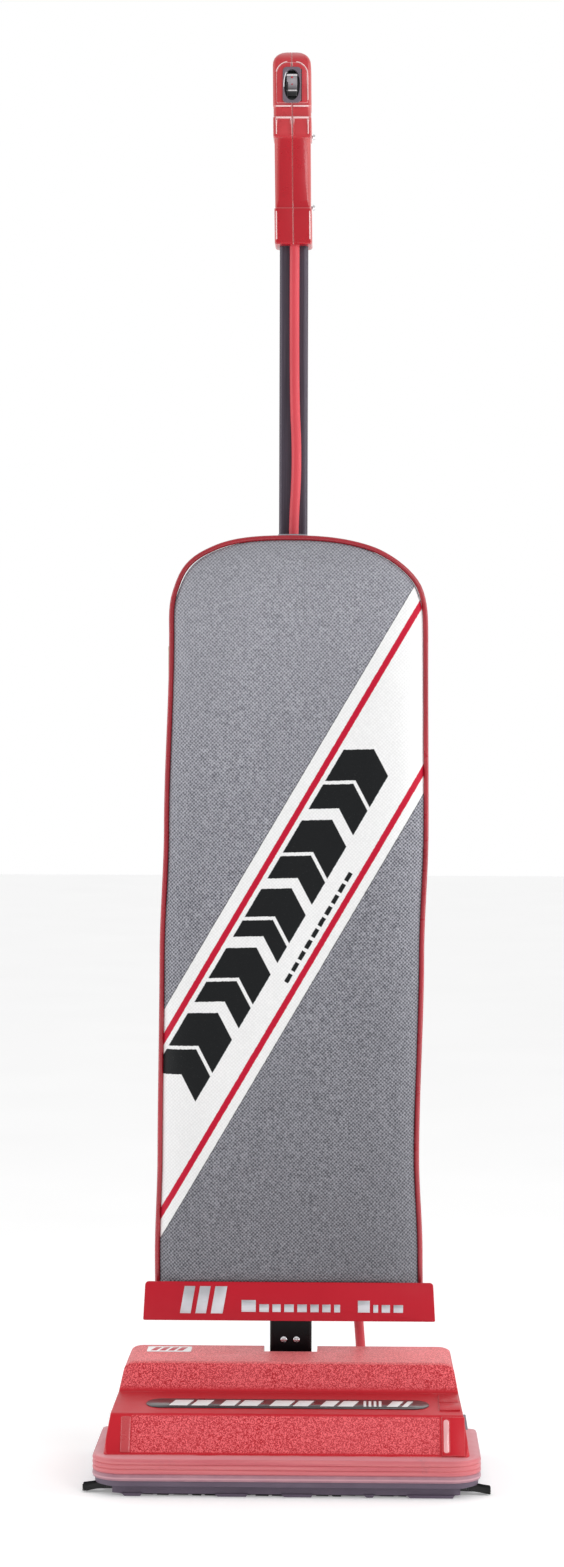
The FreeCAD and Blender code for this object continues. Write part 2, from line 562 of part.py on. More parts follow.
def make_motor():
    """Motor across the head, its rotor with shaft, fan and pulley, and the fan's volute."""
    y, z = "{motor_y}", "{motor_z}"
    start, end = "{motor_start}", "{motor_start} + {motor_length}"
    case = rod("motor_blank", "x", "{motor_radius}", "{motor_length}", (start, y, z))
    inside = rod("motor_hollow", "x", "{motor_radius} - 2.5", "{motor_length} - 5", (start + " + 2.5", y, z))
    bore = rod("motor_bore", "x", "{shaft_radius} + {bearing_play}", "{motor_length} + 4",
               (start + " - 2", y, z))
    piece(cut("motor_turned", case, inside, bore), "motor_case")
    stator = cut("stator_ring",
                 rod("stator_blank", "x", "{motor_radius} - 2.5", "38", (start + " + 17", y, z)),
                 rod("stator_hollow", "x", "{motor_radius} - 9", "40", (start + " + 16", y, z)))
    piece(stator, "motor_stator")
    shaft = rod("rotor_shaft", "x", "{shaft_radius}", "{pulley_x} + {fan_start} + 8",
                ("-{fan_start} + 2", y, z))
    core = rod("rotor_core", "x", "{motor_radius} - 10.5", "36", (start + " + 18", y, z))
    piece(fuse("rotor_assembly", shaft, core), "motor_rotor")
    near, far = "{pulley_x} - {belt_wide} / 2", "{pulley_x} + {belt_wide} / 2"
    rim = "{pulley_radius} + 3.2"
    pulley = turned("pulley", [
        (near + " - 2.5", "{shaft_radius}"), (far + " + 2.5", "{shaft_radius}"), (far + " + 2.5", rim),
        (far + " + 1", rim), (far + " + 1", "{pulley_radius}"), (near + " - 1", "{pulley_radius}"),
        (near + " - 1", rim), (near + " - 2.5", rim)], (y, z))
    piece(pulley, "motor_pulley")
    centre = Vector(-size("fan_start") + 4, size("motor_y"), size("motor_z"))
    blades = [Part.makeCylinder(size("fan_radius") - 5, 2, centre, Vector(1, 0, 0)),
              Part.makeCylinder(9, 12, centre, Vector(1, 0, 0))]
    for i in range(8):
        blade = Part.makeBox(9, 1.6, size("fan_radius") - 13, centre + Vector(1.5, -0.8, 7.5))
        blade.rotate(centre, Vector(1, 0, 0), 45 * i)
        blades.append(blade)
    wheel = blades[0].fuse(blades[1:])
    bore = Part.makeCylinder(size("shaft_radius"), 40, centre - Vector(20, 0, 0), Vector(1, 0, 0))
    shape_piece("suction_fan", wheel.cut(bore).removeSplitter())
    volute = rod("volute_blank", "x", "{fan_radius}", "{fan_deep}", ("-{fan_start}", y, z))
    hollow = rod("volute_hollow", "x", "{fan_radius} - 3", "{fan_deep} - 4", ("-{fan_start} + 2", y, z))
    shaft_hole = rod("volute_shaft_hole", "x", "{shaft_radius} + 0.5", "{fan_deep}",
                     ("-{fan_start} + {fan_deep} / 2", y, z))
    eye = rod("volute_eye", "x", "13", "{fan_deep} / 2", ("-{fan_start} - 1", y, z))
    outlet = block("volute_outlet", ("-{fan_start} + 3", "{motor_y}", "{motor_z} - 9"),
                   ("-{fan_start} + {fan_deep} - 3", "{motor_y} + {fan_radius} + 2", "{motor_z} + 9"))
    piece(cut("volute_shape", volute, hollow, shaft_hole, eye, outlet), "fan_housing")


def make_outlet_duct():
    """Short duct from the volute's outlet to the back of the head."""
    outer = block("outlet_outer", ("-{fan_start} + 3", "{motor_y} + {fan_radius} + 0.2", "{motor_z} - 8"),
                  ("-{fan_start} + {fan_deep} - 3", "{notch_front} - {wall} - 0.3", "{motor_z} + 8"))
    inner = block("outlet_inner", ("-{fan_start} + 4.5", "{motor_y} + {fan_radius} - 1", "{motor_z} - 6.5"),
                  ("-{fan_start} + {fan_deep} - 4.5", "{notch_front} + 1", "{motor_z} + 6.5"))
    piece(cut("outlet_duct_shape", outer, inner), "fan_outlet_duct")


def make_belt():
    """Flat drive belt round the motor pulley and the belt seat of the brush roll."""
    small = Vector(0, size("motor_y"), size("motor_z"))
    large = Vector(0, -size("roll_y"), size("roll_z"))
    gap = 0.3

    def band(extra):
        r_small = size("pulley_radius") + gap + extra
        r_large = size("roll_radius") - 3 + gap + extra
        line = large - small
        spread = math.acos((r_small - r_large) / line.Length)
        base = math.atan2(line.z, line.y)
        edges = []
        for sign in (1, -1):
            angle = base + sign * spread
            normal = Vector(0, math.cos(angle), math.sin(angle))
            edges.append((small + normal * r_small, large + normal * r_large))
        away_small = line.normalize() * -r_small
        away_large = (large - small).normalize() * r_large
        return Part.Wire([
            Part.LineSegment(*edges[0]).toShape(),
            Part.Arc(edges[0][1], large + away_large, edges[1][1]).toShape(),
            Part.LineSegment(edges[1][1], edges[1][0]).toShape(),
            Part.Arc(edges[1][0], small + away_small, edges[0][0]).toShape()])
    outer = Part.Face(band(size("belt_thick")))
    inner = Part.Face(band(0))
    ring = outer.cut(inner).extrude(Vector(size("belt_wide"), 0, 0))
    ring.translate(Vector(size("pulley_x") - size("belt_wide") / 2, 0, 0))
    shape_piece("drive_belt", ring)


def make_motor_mounts():
    """Two saddles that carry the motor on the chassis floor."""
    solids = []
    floor = size("tray_floor") + size("skirt")
    centre = Vector(0, size("motor_y"), size("motor_z"))
    for x in (size("motor_start") + 6, size("motor_start") + size("motor_length") - 14):
        saddle = Part.makeBox(8, 44, 22, Vector(x, centre.y - 22, floor))
        drum = Part.makeCylinder(size("motor_radius"), 30, Vector(x - 10, centre.y, centre.z),
                                 Vector(1, 0, 0))
        solids.append(saddle.cut(drum))
    foot_x = -size("fan_start") + 6
    saddle = Part.makeBox(10, 40, 18, Vector(foot_x, centre.y - 20, floor))
    drum = Part.makeCylinder(size("fan_radius"), 40, Vector(foot_x - 10, centre.y, centre.z),
                             Vector(1, 0, 0))
    solids.append(saddle.cut(drum))
    shape_piece("motor_saddles", Part.makeCompound(solids))


def make_wheels():
    """Two rear wheels on one steel axle that lies in blocks on the chassis floor."""
    y, z = "{wheel_y}", "{wheel_radius}"
    for side, sign in (("left", "-1"), ("right", "1")):
        inner = "%s * {wheel_x} - {wheel_wide} / 2" % sign
        outer = "%s * {wheel_x} + {wheel_wide} / 2" % sign
        bore = "{wheel_rod_radius} + {bearing_play}"
        body = turned("wheel_" + side, [
            (inner, bore), (outer, bore), (outer, "8"), (outer + " - 1.5", "9.5"),
            (outer + " - 1.5", "{wheel_radius} - 5"), (outer, "{wheel_radius} - 4"),
            (outer, "{wheel_radius} - 1.6"), (outer + " - 2", "{wheel_radius}"),
            (inner + " + 2", "{wheel_radius}"), (inner, "{wheel_radius} - 1.6"),
            (inner, "{wheel_radius} - 4"), (inner + " + 1.5", "{wheel_radius} - 5"),
            (inner + " + 1.5", "9.5"), (inner, "8")], (y, z))
        piece(body, "rear_wheel_" + side)
    piece(rod("wheel_rod", "x", "{wheel_rod_radius}", "2 * {wheel_x} + {wheel_wide} + 12",
              ("-{wheel_x} - {wheel_wide} / 2 - 6", y, z)), "wheel_axle")
    solids = []
    floor = size("tray_floor") + size("skirt")
    for x in (-size("wheel_x") + 12, size("wheel_x") - 24):
        block_shape = Part.makeBox(12, 14, size("wheel_radius") + 5 - floor,
                                   Vector(x, size("wheel_y") - 7, floor))
        bore = Part.makeCylinder(size("wheel_rod_radius"), 40,
                                 Vector(x - 10, size("wheel_y"), size("wheel_radius")), Vector(1, 0, 0))
        solids.append(block_shape.cut(bore))
    shape_piece("axle_blocks", Part.makeCompound(solids))


def make_pivot():
    """Steel pivot pin in two cradle ears at the back of the chassis."""
    half = "{hub_wide} / 2"
    piece(rod("pivot_rod", "x", "{pin_radius}", "{hub_wide} + 24",
              ("-%s - 12" % half, "{pivot_y}", "{pivot_z}")), "pivot_pin")
    thick, ear = size("ear_thick"), size("ear_radius")
    solids = []
    floor = size("tray_floor") + size("skirt")
    for sign in (-1, 1):
        inner = sign * (size("notch_wide") / 2 + 0.5)
        low = min(inner, inner + sign * thick)
        plate = Part.makeBox(thick, 30, size("pivot_z") - 4 - floor, Vector(low, 41.5, floor))
        arm = Part.makeBox(thick, size("pivot_y") - 48, 2 * ear, Vector(low, 48, size("pivot_z") - ear))
        knuckle = Part.makeCylinder(ear, thick, Vector(low, size("pivot_y"), size("pivot_z")),
                                    Vector(1, 0, 0))
        bore = Part.makeCylinder(size("pin_radius"), 40, Vector(low - 10, size("pivot_y"), size("pivot_z")),
                                 Vector(1, 0, 0))
        axle_way = Part.makeCylinder(3.5, 40, Vector(low - 10, size("wheel_y"), size("wheel_radius")),
                                     Vector(1, 0, 0))
        solids.append(plate.fuse([arm, knuckle]).cut(bore).cut(axle_way).removeSplitter())
    shape_piece("pivot_cradle", Part.makeCompound(solids))


# ---------------------------------------------------------------------------------------------------
# Handle: neck, tube, grip
# ---------------------------------------------------------------------------------------------------
NECK_SCREWS_X = (-6, 5)


def make_neck():
    """Neck: a hollow yoke from the pivot hub up to the bag base, open inside as the air path."""
    hub = rod("neck_hub", "x", "{hub_radius}", "{hub_wide}", ("-{hub_wide} / 2", "{pivot_y}", "{pivot_z}"))
    stem_body = body_of("neck_stem")
    sketch = outline_sketch(stem_body, "neck_section", "XY_Plane", rectangle(
        "-{hub_wide} / 2", "{neck_y} - {neck_deep} / 2", "{hub_wide} / 2", "{neck_y} + {neck_deep} / 2"),
        offset="{pivot_z}")
    pad(stem_body, sketch, "{neck_top} - {pivot_z}")
    round_edges(stem_body, "4", lambda e: runs_along(e, "z"))
    bore = rod("neck_pin_bore", "x", "{pin_radius} + {bearing_play}", "{hub_wide} + 4",
               ("-{hub_wide} / 2 - 2", "{pivot_y}", "{pivot_z}"))
    duct = block("neck_duct", ("-{hub_wide} / 2 + {neck_wall}", "{neck_y} - {neck_deep} / 2 + {neck_wall}",
                               "{pivot_z} + {hub_radius} + {neck_wall}"),
                 ("{hub_wide} / 2 - {neck_wall}", "{neck_y} + {neck_deep} / 2 - {neck_wall}",
                  "{neck_top} + 5"))
    holes = [rod("neck_screw_hole_%d" % (i + 1), "y", "{grip_screw_bore}", "5",
                 (x, "{neck_y} - {neck_deep} / 2 - 1", "{neck_screw_z}"))
             for i, x in enumerate(NECK_SCREWS_X)]
    piece(cut("neck_shape", fuse("neck_blank", hub, stem_body), bore, duct, *holes), "neck")
    screws("neck_screws", [(x, "{neck_y} - {neck_deep} / 2 - 0.05", "{neck_screw_z}")
                           for x in NECK_SCREWS_X], 1.4, 2.5, "y", -1)


def flat_tube(name, low, high, grow):
    """A rounded rectangular bar between two levels."""
    body = body_of(name)
    half_x = "{tube_wide} / 2 + %s" % grow
    half_y = "{tube_deep} / 2 + %s" % grow
    sketch = outline_sketch(body, name + "_section", "XY_Plane", rectangle(
        "-(%s)" % half_x, "{tube_y} - (%s)" % half_y, half_x, "{tube_y} + (%s)" % half_y), offset=low)
    pad(body, sketch, "(%s) - (%s)" % (high, low))
    round_edges(body, "{tube_corner} + %s" % grow, lambda e: runs_along(e, "z"))
    return body


def make_tubes():
    """Handle tube in two lengths, joined by a sleeve inside and a bolt."""
    spans = (("lower_tube", "{tube_base}", "{tube_joint}"),
             ("upper_tube", "{tube_joint} + 0.4", "{tube_top}"))
    bolt_start = ("-30", "{tube_y}", "{tube_joint} - {bolt_down}")
    bolt_hole = rod("tube_bolt_hole", "x", "{bolt_bore}", "60", bolt_start)
    for label, low, high in spans:
        outer = flat_tube(label + "_outer", low, high, "0")
        inner = flat_tube(label + "_inner", low + " - 1", high + " + 1", "-{tube_gauge}")
        if label == "lower_tube":
            piece(cut(label + "_drawn", outer, inner, bolt_hole), label)
        else:
            piece(cut(label + "_drawn", outer, inner), label)
    sleeve = flat_tube("sleeve_outer", "{tube_joint} - {sleeve_half}", "{tube_joint} + {sleeve_half}",
                       "-{tube_gauge} - 0.05")
    sleeve_in = flat_tube("sleeve_inner", "{tube_joint} - {sleeve_half} - 1",
                          "{tube_joint} + {sleeve_half} + 1", "-{tube_gauge} - 1.5")
    sleeve_hole = rod("sleeve_bolt_hole", "x", "{bolt_bore}", "60", bolt_start)
    piece(cut("sleeve_drawn", sleeve, sleeve_in, sleeve_hole), "tube_sleeve")
    head = Vector(-size("tube_wide") / 2 - 2, size("tube_y"), size("tube_joint") - size("bolt_down"))
    bolt = Part.makeCylinder(size("bolt_radius"), size("tube_wide") + 4, head, Vector(1, 0, 0))
    shape_piece("tube_bolt", bolt)


def plan_wire_between(half_wide, front, back, corner, level):
    """A rounded rectangle at a level, as a wire."""
    centres = [(-half_wide + corner, front + corner), (half_wide - corner, front + corner),
               (half_wide - corner, back - corner), (-half_wide + corner, back - corner)]
    edges = []
    for i, (cx, cy) in enumerate(centres):
        start_angle = math.radians(180 + 90 * i)
        arc = []
        for k in range(3):
            angle = start_angle + math.radians(45 * k)
            arc.append(Vector(cx + corner * math.cos(angle), cy + corner * math.sin(angle), level))
        edges.append(Part.Arc(*arc).toShape())
        nx, ny = centres[(i + 1) % 4]
        angle = start_angle + math.pi / 2
        end = Vector(nx + corner * math.cos(angle), ny + corner * math.sin(angle), level)
        edges.append(Part.LineSegment(arc[2], end).toShape())
    return Part.Wire(edges)


def grip_sections(inset):
    """Grip outline from the collar to the top, leaning back a little towards the top."""
    base, top, wide = size("grip_base"), size("grip_top"), size("grip_wide") / 2
    front, deep, lean = size("grip_front"), size("grip_deep"), size("grip_lean")
    stations = [(base, 0.0, 1.0), (base + 30, 0.0, 1.0), (base + 62, 0.1, 0.98), (base + 100, 0.35, 0.99),
                (top - 42, 0.62, 1.0), (top - 12, 0.92, 1.0), (top - 3, 1.05, 0.93), (top, 1.2, 0.72)]
    wires = []
    for level, lean_part, scale in stations:
        y0 = front + lean * lean_part + (1 - scale) * deep / 2 + inset
        y1 = front + deep + lean * lean_part - (1 - scale) * deep / 2 - inset
        half = wide * (0.5 + scale / 2) - inset
        z = min(max(level, base - (5 if inset else 0)), top - inset)
        if inset and level == base:
            z = base - 5
        wires.append(plan_wire_between(half, y0, y1, 7 - inset * 0.6, z))
    return wires


GRIP_SCREWS = ((84.5, 1078), (89, 1140))


def make_grip():
    """Grip in two moulded halves that meet at the centre plane, hollow for the switch and the cord."""
    solid = Part.makeLoft(grip_sections(0), True, True)
    hollow = Part.makeLoft(grip_sections(size("grip_wall"))[:6], True, True)
    shell = solid.cut(hollow)
    bezel_half = size("bezel_wide") / 2 - 1.2
    window = Part.makeBox(2 * bezel_half, 40, size("bezel_tall") - 2.4,
                          Vector(-bezel_half, 40, size("bezel_z") - size("bezel_tall") / 2 + 1.2))
    gland_hole = Part.makeCylinder(size("gland_hole"), 30,
                                   Vector(0, 80, size("grip_base") + size("gland_rise")), Vector(0, 1, 0))
    shell = shell.cut(window).cut(gland_hole)
    tube = Part.makeBox(size("tube_wide") + 0.4, size("tube_deep") + 0.4, 60,
                        Vector(-size("tube_wide") / 2 - 0.2, size("tube_y") - size("tube_deep") / 2 - 0.2,
                               size("grip_base") - 10))
    shell = shell.cut(tube)
    gap = size("seam_half")
    for side, sign in (("left", -1), ("right", 1)):
        half = Part.makeBox(60, 200, 400, Vector(gap if sign > 0 else -60 - gap, 0, size("grip_base") - 20))
        half_shell = shell.common(half)
        if side == "right":
            for y, z in GRIP_SCREWS:
                half_shell = half_shell.cut(Part.makeCylinder(size("grip_screw_bore"), 30, Vector(1, y, z),
                                                              Vector(1, 0, 0)))
        shape_piece("grip_" + side, half_shell)
    screws("grip_screws", [("{grip_wide} / 2 + 0.1", y, z) for y, z in GRIP_SCREWS], 1.4, 10, "x", 1)


def make_switch():
    """Rocker switch: a bezel on the grip's front, a body behind it and the rocker in the bezel."""
    z = size("bezel_z")
    rise = size("grip_top") - 12 - size("grip_base") - 100
    lean = math.degrees(math.atan2(size("grip_lean") * size("bezel_slope_share"), rise))
    front = size("grip_front") + size("grip_lean") * size("bezel_lean_share")
    wide, tall, thick = size("bezel_wide"), size("bezel_tall"), size("bezel_thick")
    open_wide, open_tall = wide - 2 * size("bezel_side"), tall - 2 * size("bezel_end")
    rim = Part.makeBox(wide, thick, tall, Vector(-wide / 2, -thick - size("face_gap"), -tall / 2))
    rim = rim.makeFillet(size("bezel_corner"), [e for e in rim.Edges if runs_along(e, "y")])
    rim = rim.cut(Part.makeBox(open_wide, 20, open_tall, Vector(-open_wide / 2, -10, -open_tall / 2)))
    box_wide, box_tall = wide - 2 * thick, tall - 3.4
    box = Part.makeBox(box_wide, size("switch_deep"), box_tall, Vector(-box_wide / 2, 0, -box_tall / 2))
    box = box.cut(Part.makeBox(open_wide, 9, open_tall, Vector(-open_wide / 2, -1, -open_tall / 2)))
    half, high = open_tall / 2 - size("rocker_end_play"), size("rocker_rise")
    profile = Part.Wire([
        Part.LineSegment(Vector(0, 5, -3), Vector(0, -0.6, -half)).toShape(),
        Part.Arc(Vector(0, -0.6, -half), Vector(0, 0.4, 0), Vector(0, -high, half)).toShape(),
        Part.LineSegment(Vector(0, -high, half), Vector(0, 5, 3)).toShape(),
        Part.LineSegment(Vector(0, 5, 3), Vector(0, 5, -3)).toShape()])
    rocker_wide = open_wide - 2 * size("rocker_play")
    rocker = Part.Face(profile).extrude(Vector(rocker_wide, 0, 0))
    rocker.translate(Vector(-rocker_wide / 2, 0, 0))
    trunnion_wide = rocker_wide + 0.8
    rocker = rocker.fuse(Part.makeCylinder(size("trunnion_radius"), trunnion_wide,
                                           Vector(-trunnion_wide / 2, 3, 0), Vector(1, 0, 0)))
    for label, shape in (("switch_bezel", rim), ("switch_body", box), ("switch_rocker", rocker)):
        shape.rotate(Vector(), Vector(1, 0, 0), -lean)
        shape.translate(Vector(0, front, z))
        shape_piece(label, shape)


def make_grip_fittings():
    """The gland that the mains lead would enter by."""
    back = size("grip_front") + size("grip_deep")
    level = size("grip_base") + size("gland_rise")
    gland = Part.makeCylinder(size("gland_radius"), 6, Vector(0, back - 4, level), Vector(0, 1, 0))
    flange = Part.makeCylinder(size("gland_flange"), size("gland_flange_thick"),
                               Vector(0, back + size("face_gap"), level), Vector(0, 1, 0))
    bore = Part.makeCylinder(size("gland_bore"), 30, Vector(0, back - 10, level), Vector(0, 1, 0))
    shape_piece("mains_gland", gland.fuse(flange).cut(bore).removeSplitter())


def make_cord_hooks():
    """Hooks behind the tube that the mains lead is wound on: the upper one turns, the lower is fixed."""
    back = size("tube_y") + size("tube_deep") / 2
    reach = size("bumper_front")
    wide, tall, thick = size("hook_wide"), size("hook_lip"), 9
    for label, z, up in (("cord_hook_upper", size("hook_upper_z"), True),
                         ("cord_hook_lower", size("hook_lower_z"), False)):
        disc = Part.makeCylinder(size("hook_disc"), 3, Vector(0, back + size("clip_play"), z),
                                 Vector(0, 1, 0))
        stem = Part.makeBox(wide, reach - back - 3, thick, Vector(-wide / 2, back + 3, z - thick / 2))
        foot = z - thick / 2 if up else z + thick / 2 - tall
        lip = Part.makeBox(wide, 7, tall, Vector(-wide / 2, reach - 7, foot))
        hook = disc.fuse([stem, lip]).removeSplitter()
        shape_piece(label, hook.makeFillet(2, [e for e in hook.Edges if runs_along(e, "y") and e.Length < 8]))


def tube_band(low, high, front, gap, thick):
    """A rectangular band round the tube: its front face stands at front, to clear the cord."""
    half = size("tube_wide") / 2 + gap
    back = size("tube_y") + size("tube_deep") / 2 + gap
    outer = Part.makeBox(2 * (half + thick), back - front + 2 * thick, high - low,
                         Vector(-half - thick, front - thick, low))
    outer = outer.makeFillet(3, [e for e in outer.Edges if runs_along(e, "z")])
    return outer.cut(Part.makeBox(2 * half, back - front, high - low, Vector(-half, front, low)))


def make_bands():
    """Socket at the foot of the tube, two cord clips and the clip that the bag hangs from."""
    foot = size("plate_top")
    tube_front = size("tube_y") - size("tube_deep") / 2
    gap = size("face_gap")
    shape_piece("tube_socket", tube_band(foot, foot + 34, tube_front - gap, gap, 3))
    front, play, gauge = size("clip_front"), size("clip_play"), size("clip_gauge")
    clips = [tube_band(level, level + size("clip_tall"), front, play, gauge)
             for level in (size("clip_low_z"), size("clip_high_z"))]
    shape_piece("cord_clips", Part.makeCompound(clips))
    base = size("bag_clip_z")
    shape_piece("bag_clip", tube_band(base, base + size("bag_clip_tall"), front, play, gauge))
    wide = size("tab_wide")
    tab = Part.makeBox(wide, 1.2, size("tab_tall"), Vector(-wide / 2, front - 2.7, base - 3))
    shape_piece("bag_tab", tab.makeFillet(0.5, [e for e in tab.Edges if runs_along(e, "x")]))


# ---------------------------------------------------------------------------------------------------
# Bag
# ---------------------------------------------------------------------------------------------------
def bag_outline(y, inset):
    """Front view of the bag: straight sides and a full, rounded top."""
    half, base, top = size("bag_wide") / 2 - inset, size("bag_base") + inset, size("bag_top") - inset
    rise = size("bag_crown") - inset * 0.5
    power = 2 / 2.6
    count = 14
    points = []
    for i in range(count + 1):
        angle = math.pi * i / count
        across = math.copysign(abs(math.cos(angle)) ** power, math.cos(angle))
        points.append(Vector(half * across, y, top - rise + rise * math.sin(angle) ** power))
    curve = Part.BSplineCurve()
    curve.interpolate(points, InitialTangent=Vector(0, 0, 1), FinalTangent=Vector(0, 0, -1))
    foot_l, foot_r = Vector(-half, y, base), Vector(half, y, base)
    return Part.Wire([Part.LineSegment(foot_l, foot_r).toShape(),
                      Part.LineSegment(foot_r, points[0]).toShape(), curve.toShape(),
                      Part.LineSegment(points[-1], foot_l).toShape()])


def bag_layers(skin, inset):
    """Front views of the bag at depths from its swollen front to its back, each a little inside."""
    back = size("bag_back")
    seam = back - size("bag_deep")
    bulge = size("bag_bulge")
    return [bag_outline(seam - bulge + skin, 34 + inset), bag_outline(seam - bulge * 0.62 + skin, 14 + inset),
            bag_outline(seam, 2.9 + inset), bag_outline(back - 8, 3.5 + inset),
            bag_outline(back - skin, 10 + inset)]


def hollow_bag(skin, inset, thick):
    outer = Part.makeLoft(bag_layers(skin, inset), True, True)
    inner = Part.makeLoft(bag_layers(skin + thick, inset + thick), True, True)
    return outer.cut(inner)


def make_bag():
    """Cloth bag, an inner paper bag, the inlet collar and the piping round the front seam."""
    centre = Vector(0, size("inlet_y"), size("plate_top"))
    up = Vector(0, 0, 1)
    mouth = Part.makeCylinder(size("collar_radius") + 1, 24, centre, up)
    shape_piece("bag_cloth", hollow_bag(0, 0, size("bag_cloth")).cut(mouth))
    paper = hollow_bag(size("paper_skin"), size("paper_in"), size("paper_thick"))
    shape_piece("paper_bag", paper.cut(mouth))
    collar = Part.makeCylinder(size("collar_radius"), 23, centre, up)
    flange = Part.makeCylinder(size("collar_flange"), 3, centre, up)
    bore = Part.makeCylinder(size("inlet_radius"), 60, centre - up * 10, up)
    shape_piece("bag_inlet_collar", collar.fuse(flange).cut(bore).removeSplitter())
    seam = size("bag_back") - size("bag_deep")
    path = bag_outline(seam, 0)
    foot = path.Edges[0].Vertexes[1].Point
    ring = Part.Wire(Part.makeCircle(size("piping_radius"), foot, Vector(0, 0, 1)))
    run = Part.Wire(path.Edges[1:])
    shape_piece("bag_piping", run.makePipeShell([ring], True, True))


def make_zip():
    """Zip tape down the left side of the bag, its two end stops and the slider."""
    face = -size("bag_wide") / 2 + size("zip_in")
    thick, y = size("zip_tape_thick"), size("zip_y")
    shape_piece("zip_tape", Part.makeBox(thick, size("zip_tape_wide"), size("zip_long"),
                                         Vector(face - thick, y, size("zip_base"))))
    slider_face = face - 1.1 - size("slider_thick")
    slider = Part.makeBox(size("slider_thick"), 7, 10, Vector(slider_face, y + 3.5, size("slider_z")))
    pull = Part.makeBox(size("pull_thick"), 5, 22,
                        Vector(slider_face - 0.2 - size("pull_thick"), y + 4.5, size("pull_z")))
    shape_piece("zip_slider", slider.fuse(pull).removeSplitter())


def make_bag_base():
    """Hollow base under the bag, open to the neck below and to the inlet above, and its red strip."""
    body = body_of("bag_plate")
    sketch = outline_sketch(body, "bag_plate_plan", "XY_Plane", rectangle(
        "-{plate_wide} / 2", "-{banner_front} + {banner_thick}", "{plate_wide} / 2",
        "{neck_y} + {neck_deep} / 2"), offset="{plate_top} - {plate_thick}")
    pad(body, sketch, "{plate_thick}")
    round_edges(body, "12", lambda e: runs_along(e, "z") and e.Vertexes[0].Point.y > 20)
    under = "{plate_top} - {plate_thick}"
    cavity = block("bag_base_cavity", ("-30", "10", under + " + 2"), ("30", "{neck_y} + 6", "{plate_top} - 2"))
    inlet = rod("bag_base_inlet", "z", "{inlet_radius}", "6", ("0", "{inlet_y}", "{plate_top} - 4"))
    way_in = block("bag_base_way_in",
                   ("-{hub_wide} / 2 + {neck_wall}", "{neck_y} - {neck_deep} / 2 + {neck_wall}",
                    under + " - 1"),
                   ("{hub_wide} / 2 - {neck_wall}", "{neck_y} + {neck_deep} / 2 - {neck_wall}",
                    under + " + 4"))
    piece(cut("bag_base_moulding", body, cavity, inlet, way_in), "bag_base")
    strip = block("banner_strip", ("-{banner_wide} / 2", "-{banner_front}", "{banner_base}"),
                  ("{banner_wide} / 2", "-{banner_front} + {banner_thick}", "{banner_top}"))
    piece(strip, "banner")


# ---------------------------------------------------------------------------------------------------
# Cord from the switch down the front of the tube to the head, in millimetres
# ---------------------------------------------------------------------------------------------------
# the run of the route in which the lead's two nodes meet
CORD_SPLIT = 14


def cord_edges(points):
    """Straight runs joined by tangent arcs, each as large as its runs allow, and where the runs are."""
    points = [Vector(*p) for p in points]
    edges = []
    last = points[0]
    marks = []
    for i in range(1, len(points) - 1):
        here = points[i]
        back = points[i - 1] - here
        ahead = points[i + 1] - here
        turn = math.pi - back.getAngle(ahead)
        reach = 0.45 * min(back.Length, ahead.Length)
        radius = reach / math.tan(turn / 2)
        start = here + back.normalize() * reach
        end = here + ahead.normalize() * reach
        inward = ((start - here) + (end - here)).normalize()
        middle = here + inward * (radius / math.cos(turn / 2) - radius)
        marks.append(len(edges))
        edges.append(Part.LineSegment(last, start).toShape())
        edges.append(Part.Arc(start, middle, end).toShape())
        last = end
    marks.append(len(edges))
    edges.append(Part.LineSegment(last, points[-1]).toShape())
    return edges, marks


def tube_along(edges):
    """A round tube along a path of edges, checked against its section times its length."""
    path = Part.Wire(edges)
    start = edges[0].Vertexes[0].Point
    tangent = edges[0].tangentAt(edges[0].FirstParameter)
    section = Part.Wire(Part.makeCircle(size("cord_radius"), start, tangent))
    tube = path.makePipeShell([section], True, True)
    expected = math.pi * size("cord_radius") ** 2 * path.Length
    if abs(tube.Volume / expected - 1) > 0.01:
        raise ValueError("the cord's volume is wrong")
    return tube


def make_cord():
    """The lead in two nodes: the upper one keeps its shape, the lower one bends as the handle leans."""
    edges, marks = cord_edges(CORD_POINTS)
    index = marks[CORD_SPLIT]
    run = edges[index]
    middle = (run.Vertexes[0].Point + run.Vertexes[-1].Point) * 0.5
    upper = edges[:index] + [Part.LineSegment(run.Vertexes[0].Point, middle).toShape()]
    lower = [Part.LineSegment(middle, run.Vertexes[-1].Point).toShape()] + edges[index + 1:]
    shape_piece("switch_cord_upper", tube_along(upper))
    shape_piece("switch_cord_lower", tube_along(lower))


MAKERS = [make_hood, make_tray, make_nozzle_plate, make_bumper, make_head_trim, make_edge_brushes,
          make_brush_roll, make_motor, make_outlet_duct, make_belt, make_motor_mounts, make_wheels,
          make_pivot, make_neck, make_tubes, make_grip, make_switch, make_grip_fittings,
          make_cord_hooks, make_bands, make_bag, make_zip, make_bag_base, make_cord]

for maker in MAKERS:
    maker()
doc.recompute()

for obj in doc.Objects:
    if "Invalid" in obj.State or "Error" in obj.State:
        raise ValueError("%s failed: %s" % (obj.Name, obj.State))
for obj in pieces:
    if obj.Shape.isNull() or not obj.Shape.isValid():
        raise ValueError("%s has no valid shape" % obj.Label)

os.makedirs("parts", exist_ok=True)
for obj in pieces:
    obj.Shape.exportStep(os.path.join("parts", obj.Label + ".step"))
print("%d nodes" % len(pieces))
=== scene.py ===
"""Looks of an upright vacuum cleaner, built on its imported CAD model."""
import json
import math
import random

import bmesh
import bpy
from mathutils import Matrix, Vector, noise

